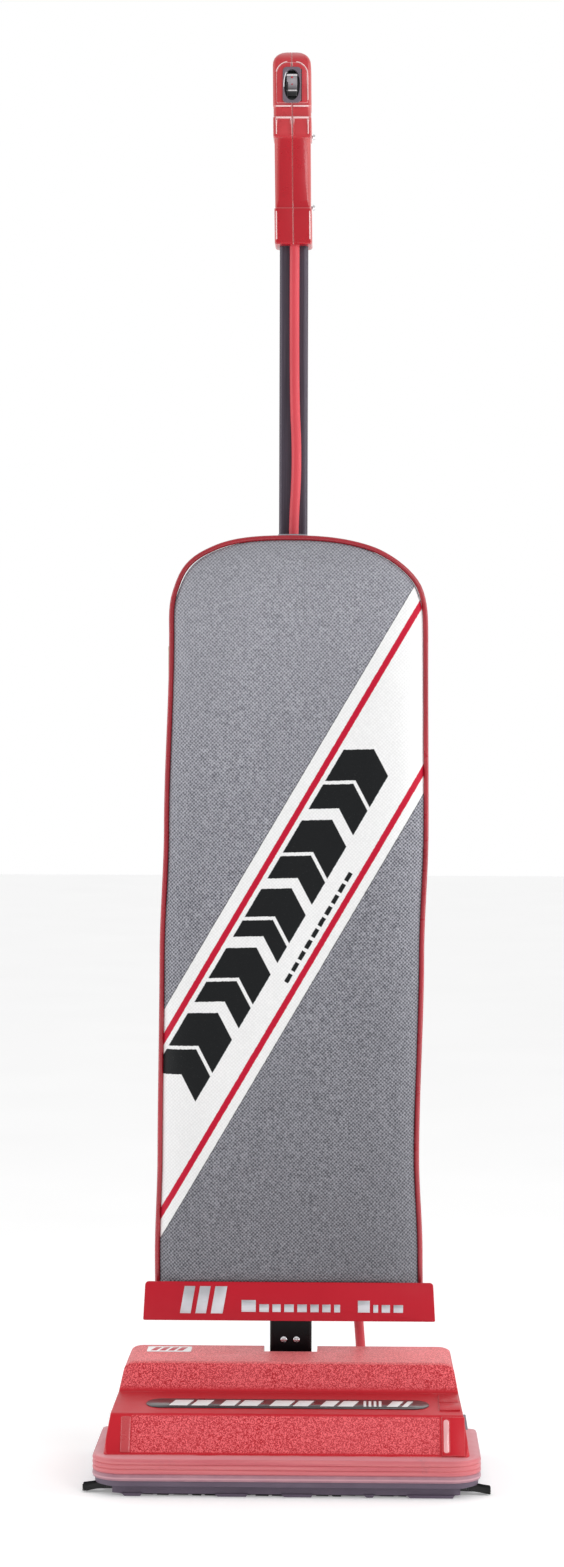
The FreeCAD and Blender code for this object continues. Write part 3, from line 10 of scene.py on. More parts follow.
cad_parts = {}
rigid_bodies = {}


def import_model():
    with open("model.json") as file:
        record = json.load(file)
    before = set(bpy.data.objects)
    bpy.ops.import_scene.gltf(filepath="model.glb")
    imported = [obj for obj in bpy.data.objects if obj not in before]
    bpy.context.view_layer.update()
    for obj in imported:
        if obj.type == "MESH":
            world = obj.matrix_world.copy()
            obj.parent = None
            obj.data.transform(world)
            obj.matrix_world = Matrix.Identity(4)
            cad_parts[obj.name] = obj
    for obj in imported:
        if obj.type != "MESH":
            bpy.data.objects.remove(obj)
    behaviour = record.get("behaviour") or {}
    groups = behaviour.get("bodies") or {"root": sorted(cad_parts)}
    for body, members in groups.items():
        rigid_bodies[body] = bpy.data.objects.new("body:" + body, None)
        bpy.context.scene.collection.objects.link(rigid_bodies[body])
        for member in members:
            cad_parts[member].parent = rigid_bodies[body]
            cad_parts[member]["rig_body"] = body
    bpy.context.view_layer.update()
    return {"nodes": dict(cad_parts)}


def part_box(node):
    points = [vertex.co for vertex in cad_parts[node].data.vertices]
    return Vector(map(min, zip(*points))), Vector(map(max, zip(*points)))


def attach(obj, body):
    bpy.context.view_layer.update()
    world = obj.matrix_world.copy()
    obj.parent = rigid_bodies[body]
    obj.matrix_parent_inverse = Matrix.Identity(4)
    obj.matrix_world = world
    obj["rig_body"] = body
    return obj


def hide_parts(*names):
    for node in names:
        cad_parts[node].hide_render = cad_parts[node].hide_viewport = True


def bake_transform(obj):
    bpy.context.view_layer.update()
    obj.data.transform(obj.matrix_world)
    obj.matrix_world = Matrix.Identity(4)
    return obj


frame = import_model()
NODES = frame["nodes"]
MM = 0.001


# ---- Materials ----
class Graph:
    """A short way to write a material's nodes: the methods return the sockets they make."""

    def __init__(self, name, colour, **sockets):
        self.material = bpy.data.materials.new(name)
        self.material.use_nodes = True
        self.tree = self.material.node_tree
        self.shader = self.tree.nodes["Principled BSDF"]
        self.shader.inputs["Base Color"].default_value = (*colour, 1)
        self.material.diffuse_color = (*colour, 1)
        for key, value in sockets.items():
            self.shader.inputs[key.replace("_", " ")].default_value = value
        self.object = self.node("ShaderNodeTexCoord").outputs["Object"]
        self.xyz = None

    def node(self, kind, **settings):
        made = self.tree.nodes.new(kind)
        for key, value in settings.items():
            setattr(made, key, value)
        return made

    def feed(self, socket, value):
        if isinstance(value, bpy.types.NodeSocket):
            self.tree.links.new(value, socket)
        elif isinstance(value, (tuple, list)) and len(value) == 3 and socket.type == "RGBA":
            socket.default_value = (*value, 1)
        else:
            socket.default_value = value

    def axis(self, index):
        if self.xyz is None:
            self.xyz = self.node("ShaderNodeSeparateXYZ")
            self.feed(self.xyz.inputs[0], self.object)
        return self.xyz.outputs[index]

    def math(self, operation, a, b=0.0):
        made = self.node("ShaderNodeMath", operation=operation)
        for socket, value in zip(made.inputs, (a, b)):
            self.feed(socket, value)
        return made.outputs[0]

    def noise(self, scale, detail=2.0, roughness=0.5, stretch=None):
        made = self.node("ShaderNodeTexNoise")
        where = self.object
        if stretch:
            shape = self.node("ShaderNodeMapping")
            self.feed(shape.inputs["Vector"], where)
            shape.inputs["Scale"].default_value = stretch
            where = shape.outputs[0]
        self.feed(made.inputs["Vector"], where)
        for key, value in (("Scale", scale), ("Detail", detail), ("Roughness", roughness)):
            made.inputs[key].default_value = value
        return made.outputs["Fac"]

    def drift(self, scale, detail=2.0, low=0.0, high=1.0, roughness=0.5, stretch=None):
        """Noise that wanders between two values."""
        return self.spread(self.noise(scale, detail, roughness, stretch), 0.3, 0.7, low, high)

    def grains(self, scale):
        """A random level in each of many small irregular cells."""
        made = self.node("ShaderNodeTexVoronoi", feature="F1")
        self.feed(made.inputs["Vector"], self.object)
        made.inputs["Scale"].default_value = scale
        return made.outputs["Color"]

    def spread(self, value, low, high, to_low=0.0, to_high=1.0):
        """A straight ramp: to_low at low, to_high at high, and level outside them."""
        made = self.node("ShaderNodeMapRange")
        for key, item in zip(("Value", "From Min", "From Max", "To Min", "To Max"),
                             (value, low, high, to_low, to_high)):
            self.feed(made.inputs[key], item)
        return made.outputs[0]

    def between(self, value, low, high, soft=0.0002):
        """1 inside a range and 0 outside, with a soft step at each end."""
        rise = self.spread(value, low - soft, low + soft)
        fall = self.spread(value, high - soft, high + soft, 1.0, 0.0)
        return self.math("MULTIPLY", rise, fall)

    def chain(self, operation, values):
        """One operation over several values in turn."""
        result = values[0]
        for value in values[1:]:
            result = self.math(operation, result, value)
        return result

    def product(self, *values):
        return self.chain("MULTIPLY", values)

    def largest(self, *values):
        return self.chain("MAXIMUM", values)

    def mix(self, amount, a, b, share=1.0):
        """Colour a with b over it, as far as the amount and the share say."""
        if share < 1:
            amount = self.product(amount, share)
        made = self.node("ShaderNodeMix", data_type="RGBA")
        for socket, value in ((0, amount), (6, a), (7, b)):
            self.feed(made.inputs[socket], value)
        return made.outputs[2]

    def edges(self, radius, sharp=0.93):
        """1 along convex and hollow edges within a radius, 0 on open faces."""
        rounded = self.node("ShaderNodeBevel", samples=6)
        rounded.inputs["Radius"].default_value = radius
        here = self.node("ShaderNodeNewGeometry").outputs["Normal"]
        match = self.node("ShaderNodeVectorMath", operation="DOT_PRODUCT")
        self.feed(match.inputs[0], rounded.outputs[0])
        self.feed(match.inputs[1], here)
        return self.spread(match.outputs["Value"], 0.995, sharp)

    def facing(self, index):
        """One part of the surface's own direction in the world: 0 is X, 1 is Y and 2 is Z."""
        parts = self.node("ShaderNodeSeparateXYZ")
        self.feed(parts.inputs[0], self.node("ShaderNodeNewGeometry").outputs["Normal"])
        return parts.outputs[index]

    def bump(self, height, depth, strength=1.0, under=None):
        made = self.node("ShaderNodeBump")
        self.feed(made.inputs["Height"], height)
        made.inputs["Distance"].default_value = depth
        made.inputs["Strength"].default_value = strength
        if under is not None:
            self.feed(made.inputs["Normal"], under)
        return made.outputs[0]

    def finish(self, colour=None, roughness=None, normal=None):
        """Joins up the shader, and returns the material."""
        for key, value in (("Base Color", colour), ("Roughness", roughness), ("Normal", normal)):
            if value is not None:
                self.feed(self.shader.inputs[key], value)
        return self.material


PRINT_EDGE = 0.25 * MM      # half the soft step at the edge of a printed or moulded line


def shade(colour, amount):
    """A colour made darker or lighter."""
    return tuple(max(0.0, part * amount) for part in colour)


def plastic(name, colour, rough=0.35, grain=700, depth=0.00006, wear=0.12, **sockets):
    """Moulded plastic: fine grain, slow colour drift and patches where it has been handled."""
    g = Graph(name, colour, **sockets)
    drift = g.noise(14, 3)
    fine = g.noise(grain, 2)
    tint = g.mix(g.spread(drift, 0.3, 0.7), shade(colour, 1 - wear), shade(colour, 1 + wear))
    rough_out = g.drift(60, 4, rough * 0.82, rough * 1.2, 0.6)
    return g.finish(tint, rough_out, g.bump(fine, depth, 0.5))


def grip_material():
    """Glossy red grip with painted light: above the rib block and on its flanks and upward faces it is
    painted lighter than on its lower front, and chosen upright and level edges carry pale painted highlights
    mixed with wear.
    """
    g = Graph("grip_red", (0.52, 0.012, 0.026), Coat_Weight=0.2, Coat_Roughness=0.12)
    drift = g.drift(14, 3)
    tint = g.mix(drift, (0.45, 0.004, 0.014), (0.51, 0.008, 0.020))
    # Painted light and shade: above the rib block the red is painted lighter; the lower front, which leans to
    # face a little downward, stays darker.
    upper = g.spread(g.axis(2), 1132 * MM, 1138 * MM)
    tint = g.mix(upper, tint, (0.62, 0.055, 0.065), 0.75)
    # Painted sheen: faces turned to the sides are painted lighter.
    painted_flank_sheen = g.spread(g.math("ABSOLUTE", g.facing(0)), 0.25, 0.5)
    tint = g.mix(painted_flank_sheen, tint, (0.60, 0.11, 0.105), 0.85)
    # Painted light: faces turned upwards are painted lighter.
    top = g.spread(g.facing(2), 0.35, 0.7)
    tint = g.mix(top, tint, (0.66, 0.13, 0.14), 0.8)
    z = g.axis(2)
    # Painted highlights mixed with wear: pale pink on upright edges at the collar and above the rib block,
    # and on level edges above the rib block, in patches.
    ends = g.largest(g.spread(z, 1076 * MM, 1080 * MM, 1.0, 0.15), g.spread(z, 1133 * MM, 1136 * MM))
    upright = g.product(g.spread(g.math("ABSOLUTE", g.facing(0)), 0.1, 0.3), ends)
    level = g.product(g.spread(g.math("ABSOLUTE", g.facing(2)), 0.1, 0.3), g.spread(z, 1143 * MM, 1146 * MM))
    patches = g.spread(g.noise(55, 3), 0.3, 0.5, 0.7, 1.0)
    highlight_and_wear = g.product(g.edges(0.9 * MM), g.largest(upright, level), patches)
    tint = g.mix(highlight_and_wear, tint, (1.0, 0.84, 0.84), 0.95)
    rough = g.drift(60, 4, 0.24, 0.36, 0.6)
    return g.finish(tint, rough, g.bump(g.noise(900, 2), 0.00003, 0.4))


def rocker_material():
    """Switch rocker: satin grey with painted shade darkening its lower half, a pale painted sheen band across
    its upper face, and pale painted highlight lines at its rims.
    """
    g = Graph("rocker_grey", (0.2, 0.19, 0.2), Coat_Weight=0.3)
    z = g.axis(2)
    # Painted shade: the lower half is near black.
    tint = g.mix(g.spread(z, 1173 * MM, 1178 * MM), (0.006, 0.006, 0.007), (0.10, 0.09, 0.10))
    # Painted highlights: a pale band across the upper face and two pale lines at the rims.
    painted_sheen = g.between(z, 1179 * MM, 1187 * MM, 2.6 * MM)
    tint = g.mix(painted_sheen, tint, (0.40, 0.37, 0.40))
    painted_rim_highlights = g.largest(g.between(z, 1175.0 * MM, 1176.1 * MM, PRINT_EDGE),
                     g.between(z, 1188.0 * MM, 1189.0 * MM, PRINT_EDGE))
    tint = g.mix(painted_rim_highlights, tint, (0.86, 0.82, 0.84))
    tint = g.mix(g.drift(300, 2, 0.0, 0.15), tint, (0.05, 0.05, 0.055))
    return g.finish(tint, g.drift(120, 3, 0.25, 0.4), g.bump(g.noise(900, 2), 0.00003, 0.4))


def metal(name, colour, rough=0.3, stretch=(1, 60, 60)):
    """Bare or plated metal with fine drawn lines along the axis that is stretched least."""
    g = Graph(name, colour, Metallic=1.0)
    lines = g.noise(22, 3, 0.6, stretch)
    tint = g.mix(g.spread(g.noise(30, 4), 0.35, 0.7), shade(colour, 0.78), colour)
    rough_out = g.spread(lines, 0.3, 0.7, rough * 0.75, rough * 1.3)
    return g.finish(tint, rough_out, g.bump(lines, 0.00008, 0.4))


RED = (0.56, 0.012, 0.024)


def hood_material(name, level, coat, crown_pebble_and_reflection):
    """Red moulded shell: pebbled panels between smooth borders, with pale painted highlights mixed with wear
    on upward-facing edges. The last argument is 1 on the crown, which it pebbles and mixes towards pale pink
    as a painted reflection.
    """
    g = Graph(name, RED, Coat_Weight=coat, Coat_Roughness=0.25, Specular_IOR_Level=level)
    x, y, z = g.axis(0), g.axis(1), g.axis(2)
    lip = g.product(g.between(z, 34.6 * MM, 61.6 * MM, 0.6 * MM), g.between(x, -127 * MM, 125 * MM, 0.8 * MM),
                    g.between(y, -120 * MM, -82 * MM))
    riser = g.product(g.between(z, 71.5 * MM, 91.4 * MM, 1.6 * MM), g.between(y, -24 * MM, -2 * MM),
                      g.between(x, -143 * MM, 143 * MM, 0.8 * MM))
    crown = g.spread(z, 80 * MM, 85 * MM, 0.0, crown_pebble_and_reflection)
    pebbled = g.largest(lip, riser, crown)
    spots = g.spread(g.grains(1350), 0.34, 0.72)
    speckle = g.mix(spots, (0.48, 0.010, 0.020), (0.96, 0.165, 0.185))
    wash = g.drift(9, 2, 0.0, 0.22)
    speckle = g.mix(wash, speckle, (0.80, 0.15, 0.17))
    drift = g.mix(g.drift(11, 3), shade(RED, 0.95), shade(RED, 1.08))
    colour = g.mix(pebbled, drift, speckle)
    # Painted reflection: the crown is mixed towards pale pink.
    colour = g.mix(crown, colour, (0.74, 0.38, 0.36), 0.22)
    ledge = g.product(g.between(z, 62.8 * MM, 69.5 * MM, 0.5 * MM), g.between(y, -87 * MM, -20 * MM))
    shaded = g.product(ledge, g.spread(y, -70 * MM, -32 * MM))
    colour = g.mix(shaded, colour, (0.36, 0.003, 0.008), 0.5)
    # Painted highlights mixed with wear: upward-facing edges are mixed towards pale pink, in patches.
    patches = g.spread(g.noise(45, 4), 0.35, 0.6, 0.25, 1.0)
    highlight_and_wear = g.product(g.edges(1.3 * MM), g.spread(g.facing(2), 0.0, 0.3), patches)
    colour = g.mix(highlight_and_wear, colour, (0.92, 0.45, 0.46), 0.45)
    rough = g.spread(pebbled, 0, 1, 0.42, 0.5)
    rough = g.math("ADD", rough, g.drift(40, 4, -0.03, 0.05))
    height = g.product(spots, g.product(pebbled, g.spread(crown, 0, 1, 0.4, 0.15)))
    fine = g.bump(g.noise(900, 2), 0.00002, 0.4)
    return g.finish(colour, rough, g.bump(height, 0.0005, 0.7, fine))


def bumper_material():
    """Soft vinyl bumper: greyed pink ribs over a mauve lip, with a dark foot and scuffs, and pale painted
    highlight lines across the lip and along the top edge.
    """
    g = Graph("bumper_vinyl", (0.5, 0.2, 0.22), Sheen_Weight=0.1, Sheen_Roughness=0.4)
    y, z = g.axis(1), g.axis(2)
    ribs = g.mix(g.drift(70, 3, stretch=(0.15, 0.15, 6)), (0.60, 0.125, 0.150), (0.70, 0.20, 0.215))
    band = g.mix(g.drift(90, 3), (0.36, 0.17, 0.215), (0.44, 0.22, 0.26))
    foot = g.mix(g.drift(60, 3), (0.105, 0.075, 0.115), (0.135, 0.10, 0.145))
    colour = g.mix(g.spread(z, 18.6 * MM, 19.8 * MM), band, ribs)
    # Painted highlight: a pale line across the mauve lip.
    colour = g.mix(g.between(z, 15.2 * MM, 16.4 * MM, 0.5 * MM), colour, (0.62, 0.33, 0.38))
    colour = g.mix(g.spread(z, 13.2 * MM, 13.5 * MM, 1.0, 0.0), colour, foot)
    upper = g.spread(z, 14 * MM, 22 * MM)
    side = g.mix(upper, (0.20, 0.13, 0.18), (0.47, 0.24, 0.275))
    colour = g.mix(g.spread(y, -104 * MM, -80 * MM, 0.0, 0.75), colour, side)
    # Painted highlight: a pale line along the top edge.
    colour = g.mix(g.spread(z, 31.2 * MM, 31.8 * MM, 0.0, 0.6), colour, (0.76, 0.34, 0.38))
    scuff = g.spread(g.noise(38, 6, 0.75), 0.62, 0.75)
    colour = g.mix(scuff, colour, (0.22, 0.12, 0.14), 0.3)
    rough = g.drift(120, 3, 0.42, 0.6)
    return g.finish(colour, rough, g.bump(g.noise(800, 3), 0.00008, 0.5))


def weave_height(g, pitch, across, along):
    """Height of a plain weave, from two crossing waves."""
    scale = 2 * math.pi / pitch
    warp, weft = (g.math("SINE", g.product(way, scale)) for way in (across, along))
    return g.spread(g.product(warp, weft), -1, 1)


# The print on the bag, in millimetres: u runs up along the slanting band and v across it. Each chevron
# has a start, the length of its first block, and an end.
BAND_SLANT = (0.5065, 0.8622)
BAND = (192.7, 288.2)
PINSTRIPES = ((273.3, 278.4), (200.2, 205.3))
CHEVRON_MIDDLE, CHEVRON_HALF, CHEVRON_GAP = 247.7, 21.8, 3.4
CHEVRONS = ((241, 25, 302), (313, 20, 366), (377, 16, 424), (434, 22, 491), (502, 24, 560))
DASHES_FROM, DASHES_TO = 352, 462


def bag_material():
    """Grey canvas with a slanting printed band: white, two red pinstripes, black chevrons and dashes; the
    canvas is painted darker low down and lighter high up as painted shade and light.
    """
    g = Graph("bag_canvas_print", (0.28, 0.28, 0.31), Sheen_Weight=0.03, Sheen_Roughness=0.55,
              Specular_IOR_Level=0.18)
    x, y, z = g.axis(0), g.axis(1), g.axis(2)
    wander = g.product(g.math("SUBTRACT", g.noise(170, 2), 0.5), 0.0012)
    weave = weave_height(g, 3.1 * MM, g.math("ADD", x, wander), g.math("ADD", z, wander))
    threads = g.spread(g.noise(980, 1, 0.5, (1.0, 1, 0.25)), 0.34, 0.66)
    slubs = g.spread(g.noise(980, 1, 0.5, (0.25, 1, 1.0)), 0.34, 0.66)
    strands = g.math("ADD", threads, slubs)
    tone = g.math("ADD", g.product(weave, 0.60), g.product(strands, 0.20))
    canvas = g.mix(g.spread(tone, 0.20, 0.82), (0.062, 0.064, 0.080), (0.47, 0.47, 0.52))
    cloudy = g.spread(g.noise(14, 3, 0.5), 0.35, 0.65, 0.0, 0.10)
    canvas = g.mix(cloudy, canvas, (0.17, 0.175, 0.20))
    # Painted shade and light: the canvas is painted darker low down and lighter high up, along a line tilted
    # across the bag.
    painted_light_slope = g.math("SUBTRACT", z, g.product(x, 0.5))
    canvas = g.mix(g.spread(painted_light_slope, 0.14, 0.52, 0.42, 0.0), canvas, (0.07, 0.07, 0.072))
    canvas = g.mix(g.spread(painted_light_slope, 0.52, 0.80, 0.0, 0.26), canvas, (0.55, 0.55, 0.60))
    along_x, along_z = BAND_SLANT
    u = g.math("ADD", g.product(x, along_x), g.product(z, along_z))
    v = g.math("SUBTRACT", g.product(z, along_x), g.product(x, along_z))
    fray = g.product(g.math("SUBTRACT", g.noise(420, 2), 0.5), 0.0007)
    u, v = (g.math("ADD", way, fray) for way in (u, v))

    def across(low, high):
        return g.between(v, low * MM, high * MM, PRINT_EDGE)
    front = g.spread(y, 10.5 * MM, 11 * MM, 1.0, 0.0)
    band = g.product(front, across(*BAND))
    edge = g.product(front, across(BAND[0] - 0.6, BAND[1] + 0.6))
    stripes = g.largest(*(across(low, high) for low, high in PINSTRIPES))
    middle, half = CHEVRON_MIDDLE, CHEVRON_HALF
    point = g.product(g.math("ABSOLUTE", g.math("SUBTRACT", v, middle * MM)), 0.62)
    nose = g.math("ADD", u, point)
    inside = across(middle - half, middle + half)
    blocks = []
    for start, split, end in CHEVRONS:
        for low, high in ((start, start + split), (start + split + CHEVRON_GAP, end)):
            blocks.append(g.product(inside, g.between(nose, low * MM, high * MM, PRINT_EDGE)))
    first, last = DASHES_FROM * MM, DASHES_TO * MM
    dashes = g.product(across(209.6, 213.4), g.between(u, first, last, 0.4 * MM))
    beat = g.math("PINGPONG", g.math("SUBTRACT", u, first), 5.5 * MM)
    dashes = g.product(dashes, g.spread(beat, 1.3 * MM, 1.7 * MM))
    ink = g.largest(*blocks, dashes)
    ink = g.product(ink, g.spread(g.noise(900, 2), 0.25, 0.35, 0.98, 1.0))
    white = g.mix(g.spread(tone, 0.3, 0.85), (0.80, 0.80, 0.80), (0.91, 0.91, 0.91))
    printed = g.mix(stripes, white, (0.52, 0.004, 0.030))
    printed = g.mix(ink, printed, (0.006, 0.007, 0.008))
    colour = g.mix(edge, canvas, (0.05, 0.05, 0.05), 0.85)
    colour = g.mix(band, colour, printed)
    rough = g.spread(band, 0, 1, 0.82, 0.62)
    depth = g.product(tone, g.spread(band, 0, 1, 1.0, 0.3))
    return g.finish(colour, rough, g.bump(depth, 0.0006, 0.6))


def cloth_tape(name, colour):
    """Plain woven tape or webbing."""
    g = Graph(name, colour, Sheen_Weight=0.2)
    weave = weave_height(g, 1.1 * MM, g.math("ADD", g.axis(1), g.axis(0)), g.axis(2))
    tint = g.mix(weave, shade(colour, 0.6), shade(colour, 1.25))
    return g.finish(tint, g.drift(90, 3, 0.7, 0.9), g.bump(weave, 0.0003, 0.6))


def paper_material():
    """Buff filter paper with long upright fibres."""
    g = Graph("filter_paper", (0.62, 0.52, 0.38))
    fibre = g.noise(160, 5, 0.7, (1, 1, 0.3))
    tint = g.mix(g.spread(fibre, 0.3, 0.7), (0.52, 0.42, 0.30), (0.68, 0.58, 0.44))
    return g.finish(tint, 0.9, g.bump(fibre, 0.0004, 0.5))


def tube_material():
    """Plated handle tube: dark mauve grey with long drawn lines and a few pale scratches."""
    g = Graph("tube_finish", (0.15, 0.125, 0.16), Metallic=0.3, Coat_Weight=0.15, Coat_Roughness=0.25)
    lines = g.noise(26, 4, 0.6, (60, 60, 0.6))
    tint = g.mix(g.spread(lines, 0.3, 0.7), (0.046, 0.034, 0.052), (0.082, 0.064, 0.090))
    scratch = g.spread(g.noise(9, 6, 0.8, (30, 30, 1)), 0.66, 0.72, 0.0, 0.3)
    tint = g.mix(scratch, tint, (0.2, 0.18, 0.2))
    return g.finish(tint, g.spread(lines, 0.3, 0.7, 0.3, 0.5), g.bump(lines, 0.00006, 0.4))


def bristle_material(name, colour):
    """Stiff nylon or hair, darker and lighter from one bristle to the next."""
    g = Graph(name, colour)
    hair = g.noise(700, 2, 0.5)
    return g.finish(g.mix(hair, shade(colour, 0.5), shade(colour, 1.6)),
                    g.spread(hair, 0.3, 0.7, 0.35, 0.6), g.bump(hair, 0.0004, 0.6))


def wood_material():
    """Turned beech with its grain along the roll."""
    g = Graph("beech", (0.42, 0.25, 0.12), Coat_Weight=0.2)
    grain = g.noise(14, 6, 0.65, (0.6, 9, 9))
    return g.finish(g.mix(g.spread(grain, 0.35, 0.65), (0.30, 0.16, 0.07), (0.52, 0.33, 0.17)),
                    g.spread(grain, 0.3, 0.7, 0.35, 0.5), g.bump(grain, 0.0003, 0.5))


def strip_material():
    """Glossy black of the label strip."""
    g = Graph("label_black", (0.02, 0.02, 0.022), Coat_Weight=0.3, Coat_Roughness=0.15)
    drift = g.drift(60, 3)
    return g.finish(g.mix(drift, (0.014, 0.014, 0.016), (0.03, 0.03, 0.032)),
                    g.spread(drift, 0, 1, 0.25, 0.38), g.bump(g.noise(900, 2), 0.00003, 0.3))


MAT = {
    "hood": hood_material("shell_red", 0.25, 0.05, 0.0),
    # The crown's material: pebbled, with a painted pale reflection.
    "crown": hood_material("shell_crown", 0.25, 0.06, 1.0),
    "bumper": bumper_material(),
    "bag": bag_material(),
    "tape": cloth_tape("zip_cloth", (0.06, 0.06, 0.068)),
    "tab": cloth_tape("tab_cloth", (0.42, 0.42, 0.46)),
    "paper": paper_material(),
    "tube": tube_material(),
    "wood": wood_material(),
    "bristle": bristle_material("bristle_black", (0.012, 0.012, 0.013)),
    "roll_bristle": bristle_material("bristle_roll", (0.05, 0.045, 0.042)),
    "strip": strip_material(),
    "white": plastic("label_white", (0.83, 0.83, 0.83), 0.4, wear=0.03),
    "label_red": plastic("label_red", (0.50, 0.01, 0.03), 0.4, wear=0.05),
    "silver": metal("print_silver", (0.74, 0.74, 0.78), 0.38),
    "banner": plastic("banner_red", (0.50, 0.004, 0.018), 0.5, wear=0.05, Specular_IOR_Level=0.3),
    "grip": grip_material(),
    "cord": plastic("cord_red", (0.68, 0.065, 0.085), 0.42, 300, 0.0001, 0.06, Specular_IOR_Level=0.4),
    "piping": plastic("piping_red", (0.38, 0.010, 0.022), 0.3, 500, 0.0001, 0.15, Coat_Weight=0.5,
                      Coat_Roughness=0.15),
    "base": plastic("base_mauve", (0.115, 0.085, 0.13), 0.45, 500, 0.0002, 0.14),
    # Painted highlights: the two lip beads are pale pink and lighter red, for a reflected streak and a soft
    # light strip.
    "bright_bead_highlight": plastic("bead_bright_highlight", (0.85, 0.42, 0.43), 0.2, 900, 0.00003, 0.3, Coat_Weight=0.8,
                          Coat_Roughness=0.08),
    "soft_bead_highlight": plastic("bead_soft_highlight", (0.56, 0.055, 0.065), 0.3, 900, 0.00003, 0.1, Coat_Weight=0.4,
                         Coat_Roughness=0.2),
    # Painted glint: pale grey for the glint on the switch bezel's left rim.
    "glint": plastic("painted_glint_grey", (0.82, 0.80, 0.84), 0.3, 900, 0.00003, 0.05, Coat_Weight=0.3),
    # Painted highlight: pale pink for the shelves and lines on the grip.
    "highlight_pale": plastic("painted_highlight_red", (0.96, 0.66, 0.66), 0.35, 900, 0.00003, 0.05),
    "neck": plastic("black_gloss", (0.003, 0.003, 0.004), 0.3, 900, 0.00003, 0.1, Specular_IOR_Level=0.16),
    "black": plastic("black_plastic", (0.018, 0.018, 0.02), 0.42, 600, 0.0001, 0.2),
    "rubber": plastic("black_rubber", (0.016, 0.016, 0.017), 0.7, 350, 0.0003, 0.25),
    "grey": plastic("grey_plastic", (0.20, 0.18, 0.21), 0.4, 600, 0.0001, 0.1),
    "bezel": plastic("bezel_grey", (0.16, 0.125, 0.16), 0.36, 900, 0.00003, 0.08, Coat_Weight=0.3),
    "rocker": rocker_material(),
    "wheel": plastic("wheel_grey", (0.055, 0.052, 0.06), 0.5, 500, 0.0001, 0.15),
    "steel": metal("steel", (0.80, 0.80, 0.82), 0.28),
    "motor": metal("motor_casting", (0.45, 0.45, 0.46), 0.5),
    "brass": metal("brass", (0.55, 0.42, 0.22), 0.35, (60, 60, 1)),
}

CAD_FINISH = {
    "base": "chassis_tray nozzle_plate",
    "steel": "nozzle_screws neck_screws grip_screws tube_bolt wheel_axle pivot_pin brush_axle motor_stator",
    "black": "axle_blocks pivot_cradle bag_base bag_clip cord_clips cord_hook_upper cord_hook_lower "
             "tube_socket tube_sleeve mains_gland motor_saddles switch_body fan_outlet_duct",
    "rubber": "drive_belt cord_grommet",
    "wheel": "rear_wheel_left rear_wheel_right",
    "motor": "motor_case motor_rotor",
    "grey": "fan_housing suction_fan motor_pulley bag_inlet_collar brush_end_cap_left brush_end_cap_right",
    "wood": "brush_roll",
    "roll_bristle": "brush_bristles",
    "bristle": "edge_brush_left edge_brush_right",
    "paper": "paper_bag",
    "tube": "lower_tube upper_tube",
    "tape": "zip_tape",
    "tab": "bag_tab",
    "brass": "zip_slider",
    "grip": "grip_left grip_right",
    "bezel": "switch_bezel",
    "rocker": "switch_rocker",
    "bag": "bag_cloth",
    "piping": "bag_piping",
    "cord": "switch_cord_upper switch_cord_lower",
    "strip": "hood_label_strip",
    "white": "hood_badge",
    "hood": "hood",
    "bumper": "bumper",
    "banner": "banner",
    "neck": "neck",
}


def dress(obj, material):
    """One material all over an object."""
    obj.data.materials.clear()
    obj.data.materials.append(material)


for key, names in CAD_FINISH.items():
    for name in names.split():
        dress(NODES[name], MAT[key])


# ---- Mesh helpers ----
def new_piece(name, points, faces, material, smooth_angle=35):
    """A mesh piece from points in metres; its edges sharper than the angle stay sharp."""
    mesh = bpy.data.meshes.new(name)
    mesh.from_pydata([tuple(p) for p in points], [], faces)
    obj = bpy.data.objects.new(name, mesh)
    bpy.context.scene.collection.objects.link(obj)
    tidy_mesh(obj, smooth_angle)
    dress(obj, material)
    return obj


def tidy_mesh(obj, smooth_angle=35):
    """Joins double points, turns faces outwards and shades smooth, except across sharp edges."""
    work = bmesh.new()
    work.from_mesh(obj.data)
    bmesh.ops.remove_doubles(work, verts=work.verts, dist=1e-7)
    bmesh.ops.recalc_face_normals(work, faces=work.faces)
    limit = math.radians(smooth_angle)
    for face in work.faces:
        face.smooth = True
    for edge in work.edges:
        edge.smooth = len(edge.link_faces) == 2 and edge.calc_face_angle(0) < limit
    work.to_mesh(obj.data)
    work.free()


def add(obj, kind, **settings):
    """A modifier with its settings."""
    made = obj.modifiers.new(kind.lower(), kind)
    for key, value in settings.items():
        setattr(made, key, value)
    return made


def bake(obj, smooth_angle=35):
    """Applies the piece's modifiers, so that its mesh is what it shows."""
    view = bpy.context.evaluated_depsgraph_get()
    mesh = bpy.data.meshes.new_from_object(obj.evaluated_get(view))
    obj.modifiers.clear()
    obj.data = mesh
    tidy_mesh(obj, smooth_angle)
    return obj


def grid(rows, closed=False, caps=False):
    """Quads between rows of points of one length; closed joins the ends of each row."""
    width = len(rows[0])
    points = [p for row in rows for p in row]
    faces = []
    for i in range(len(rows) - 1):
        for j in range(width if closed else width - 1):
            k = (j + 1) % width
            faces.append((i * width + j, i * width + k, (i + 1) * width + k, (i + 1) * width + j))
    if caps:
        faces.append(tuple(reversed(range(width))))
        last = (len(rows) - 1) * width
        faces.append(tuple(last + j for j in range(width)))
    return points, faces


def turns(count):
    """Equal angles round a full turn."""
    return [2 * math.pi * k / count for k in range(count)]


def mm(outline):
    """An outline of pairs in millimetres, in metres."""
    return [(a * MM, b * MM) for a, b in outline]


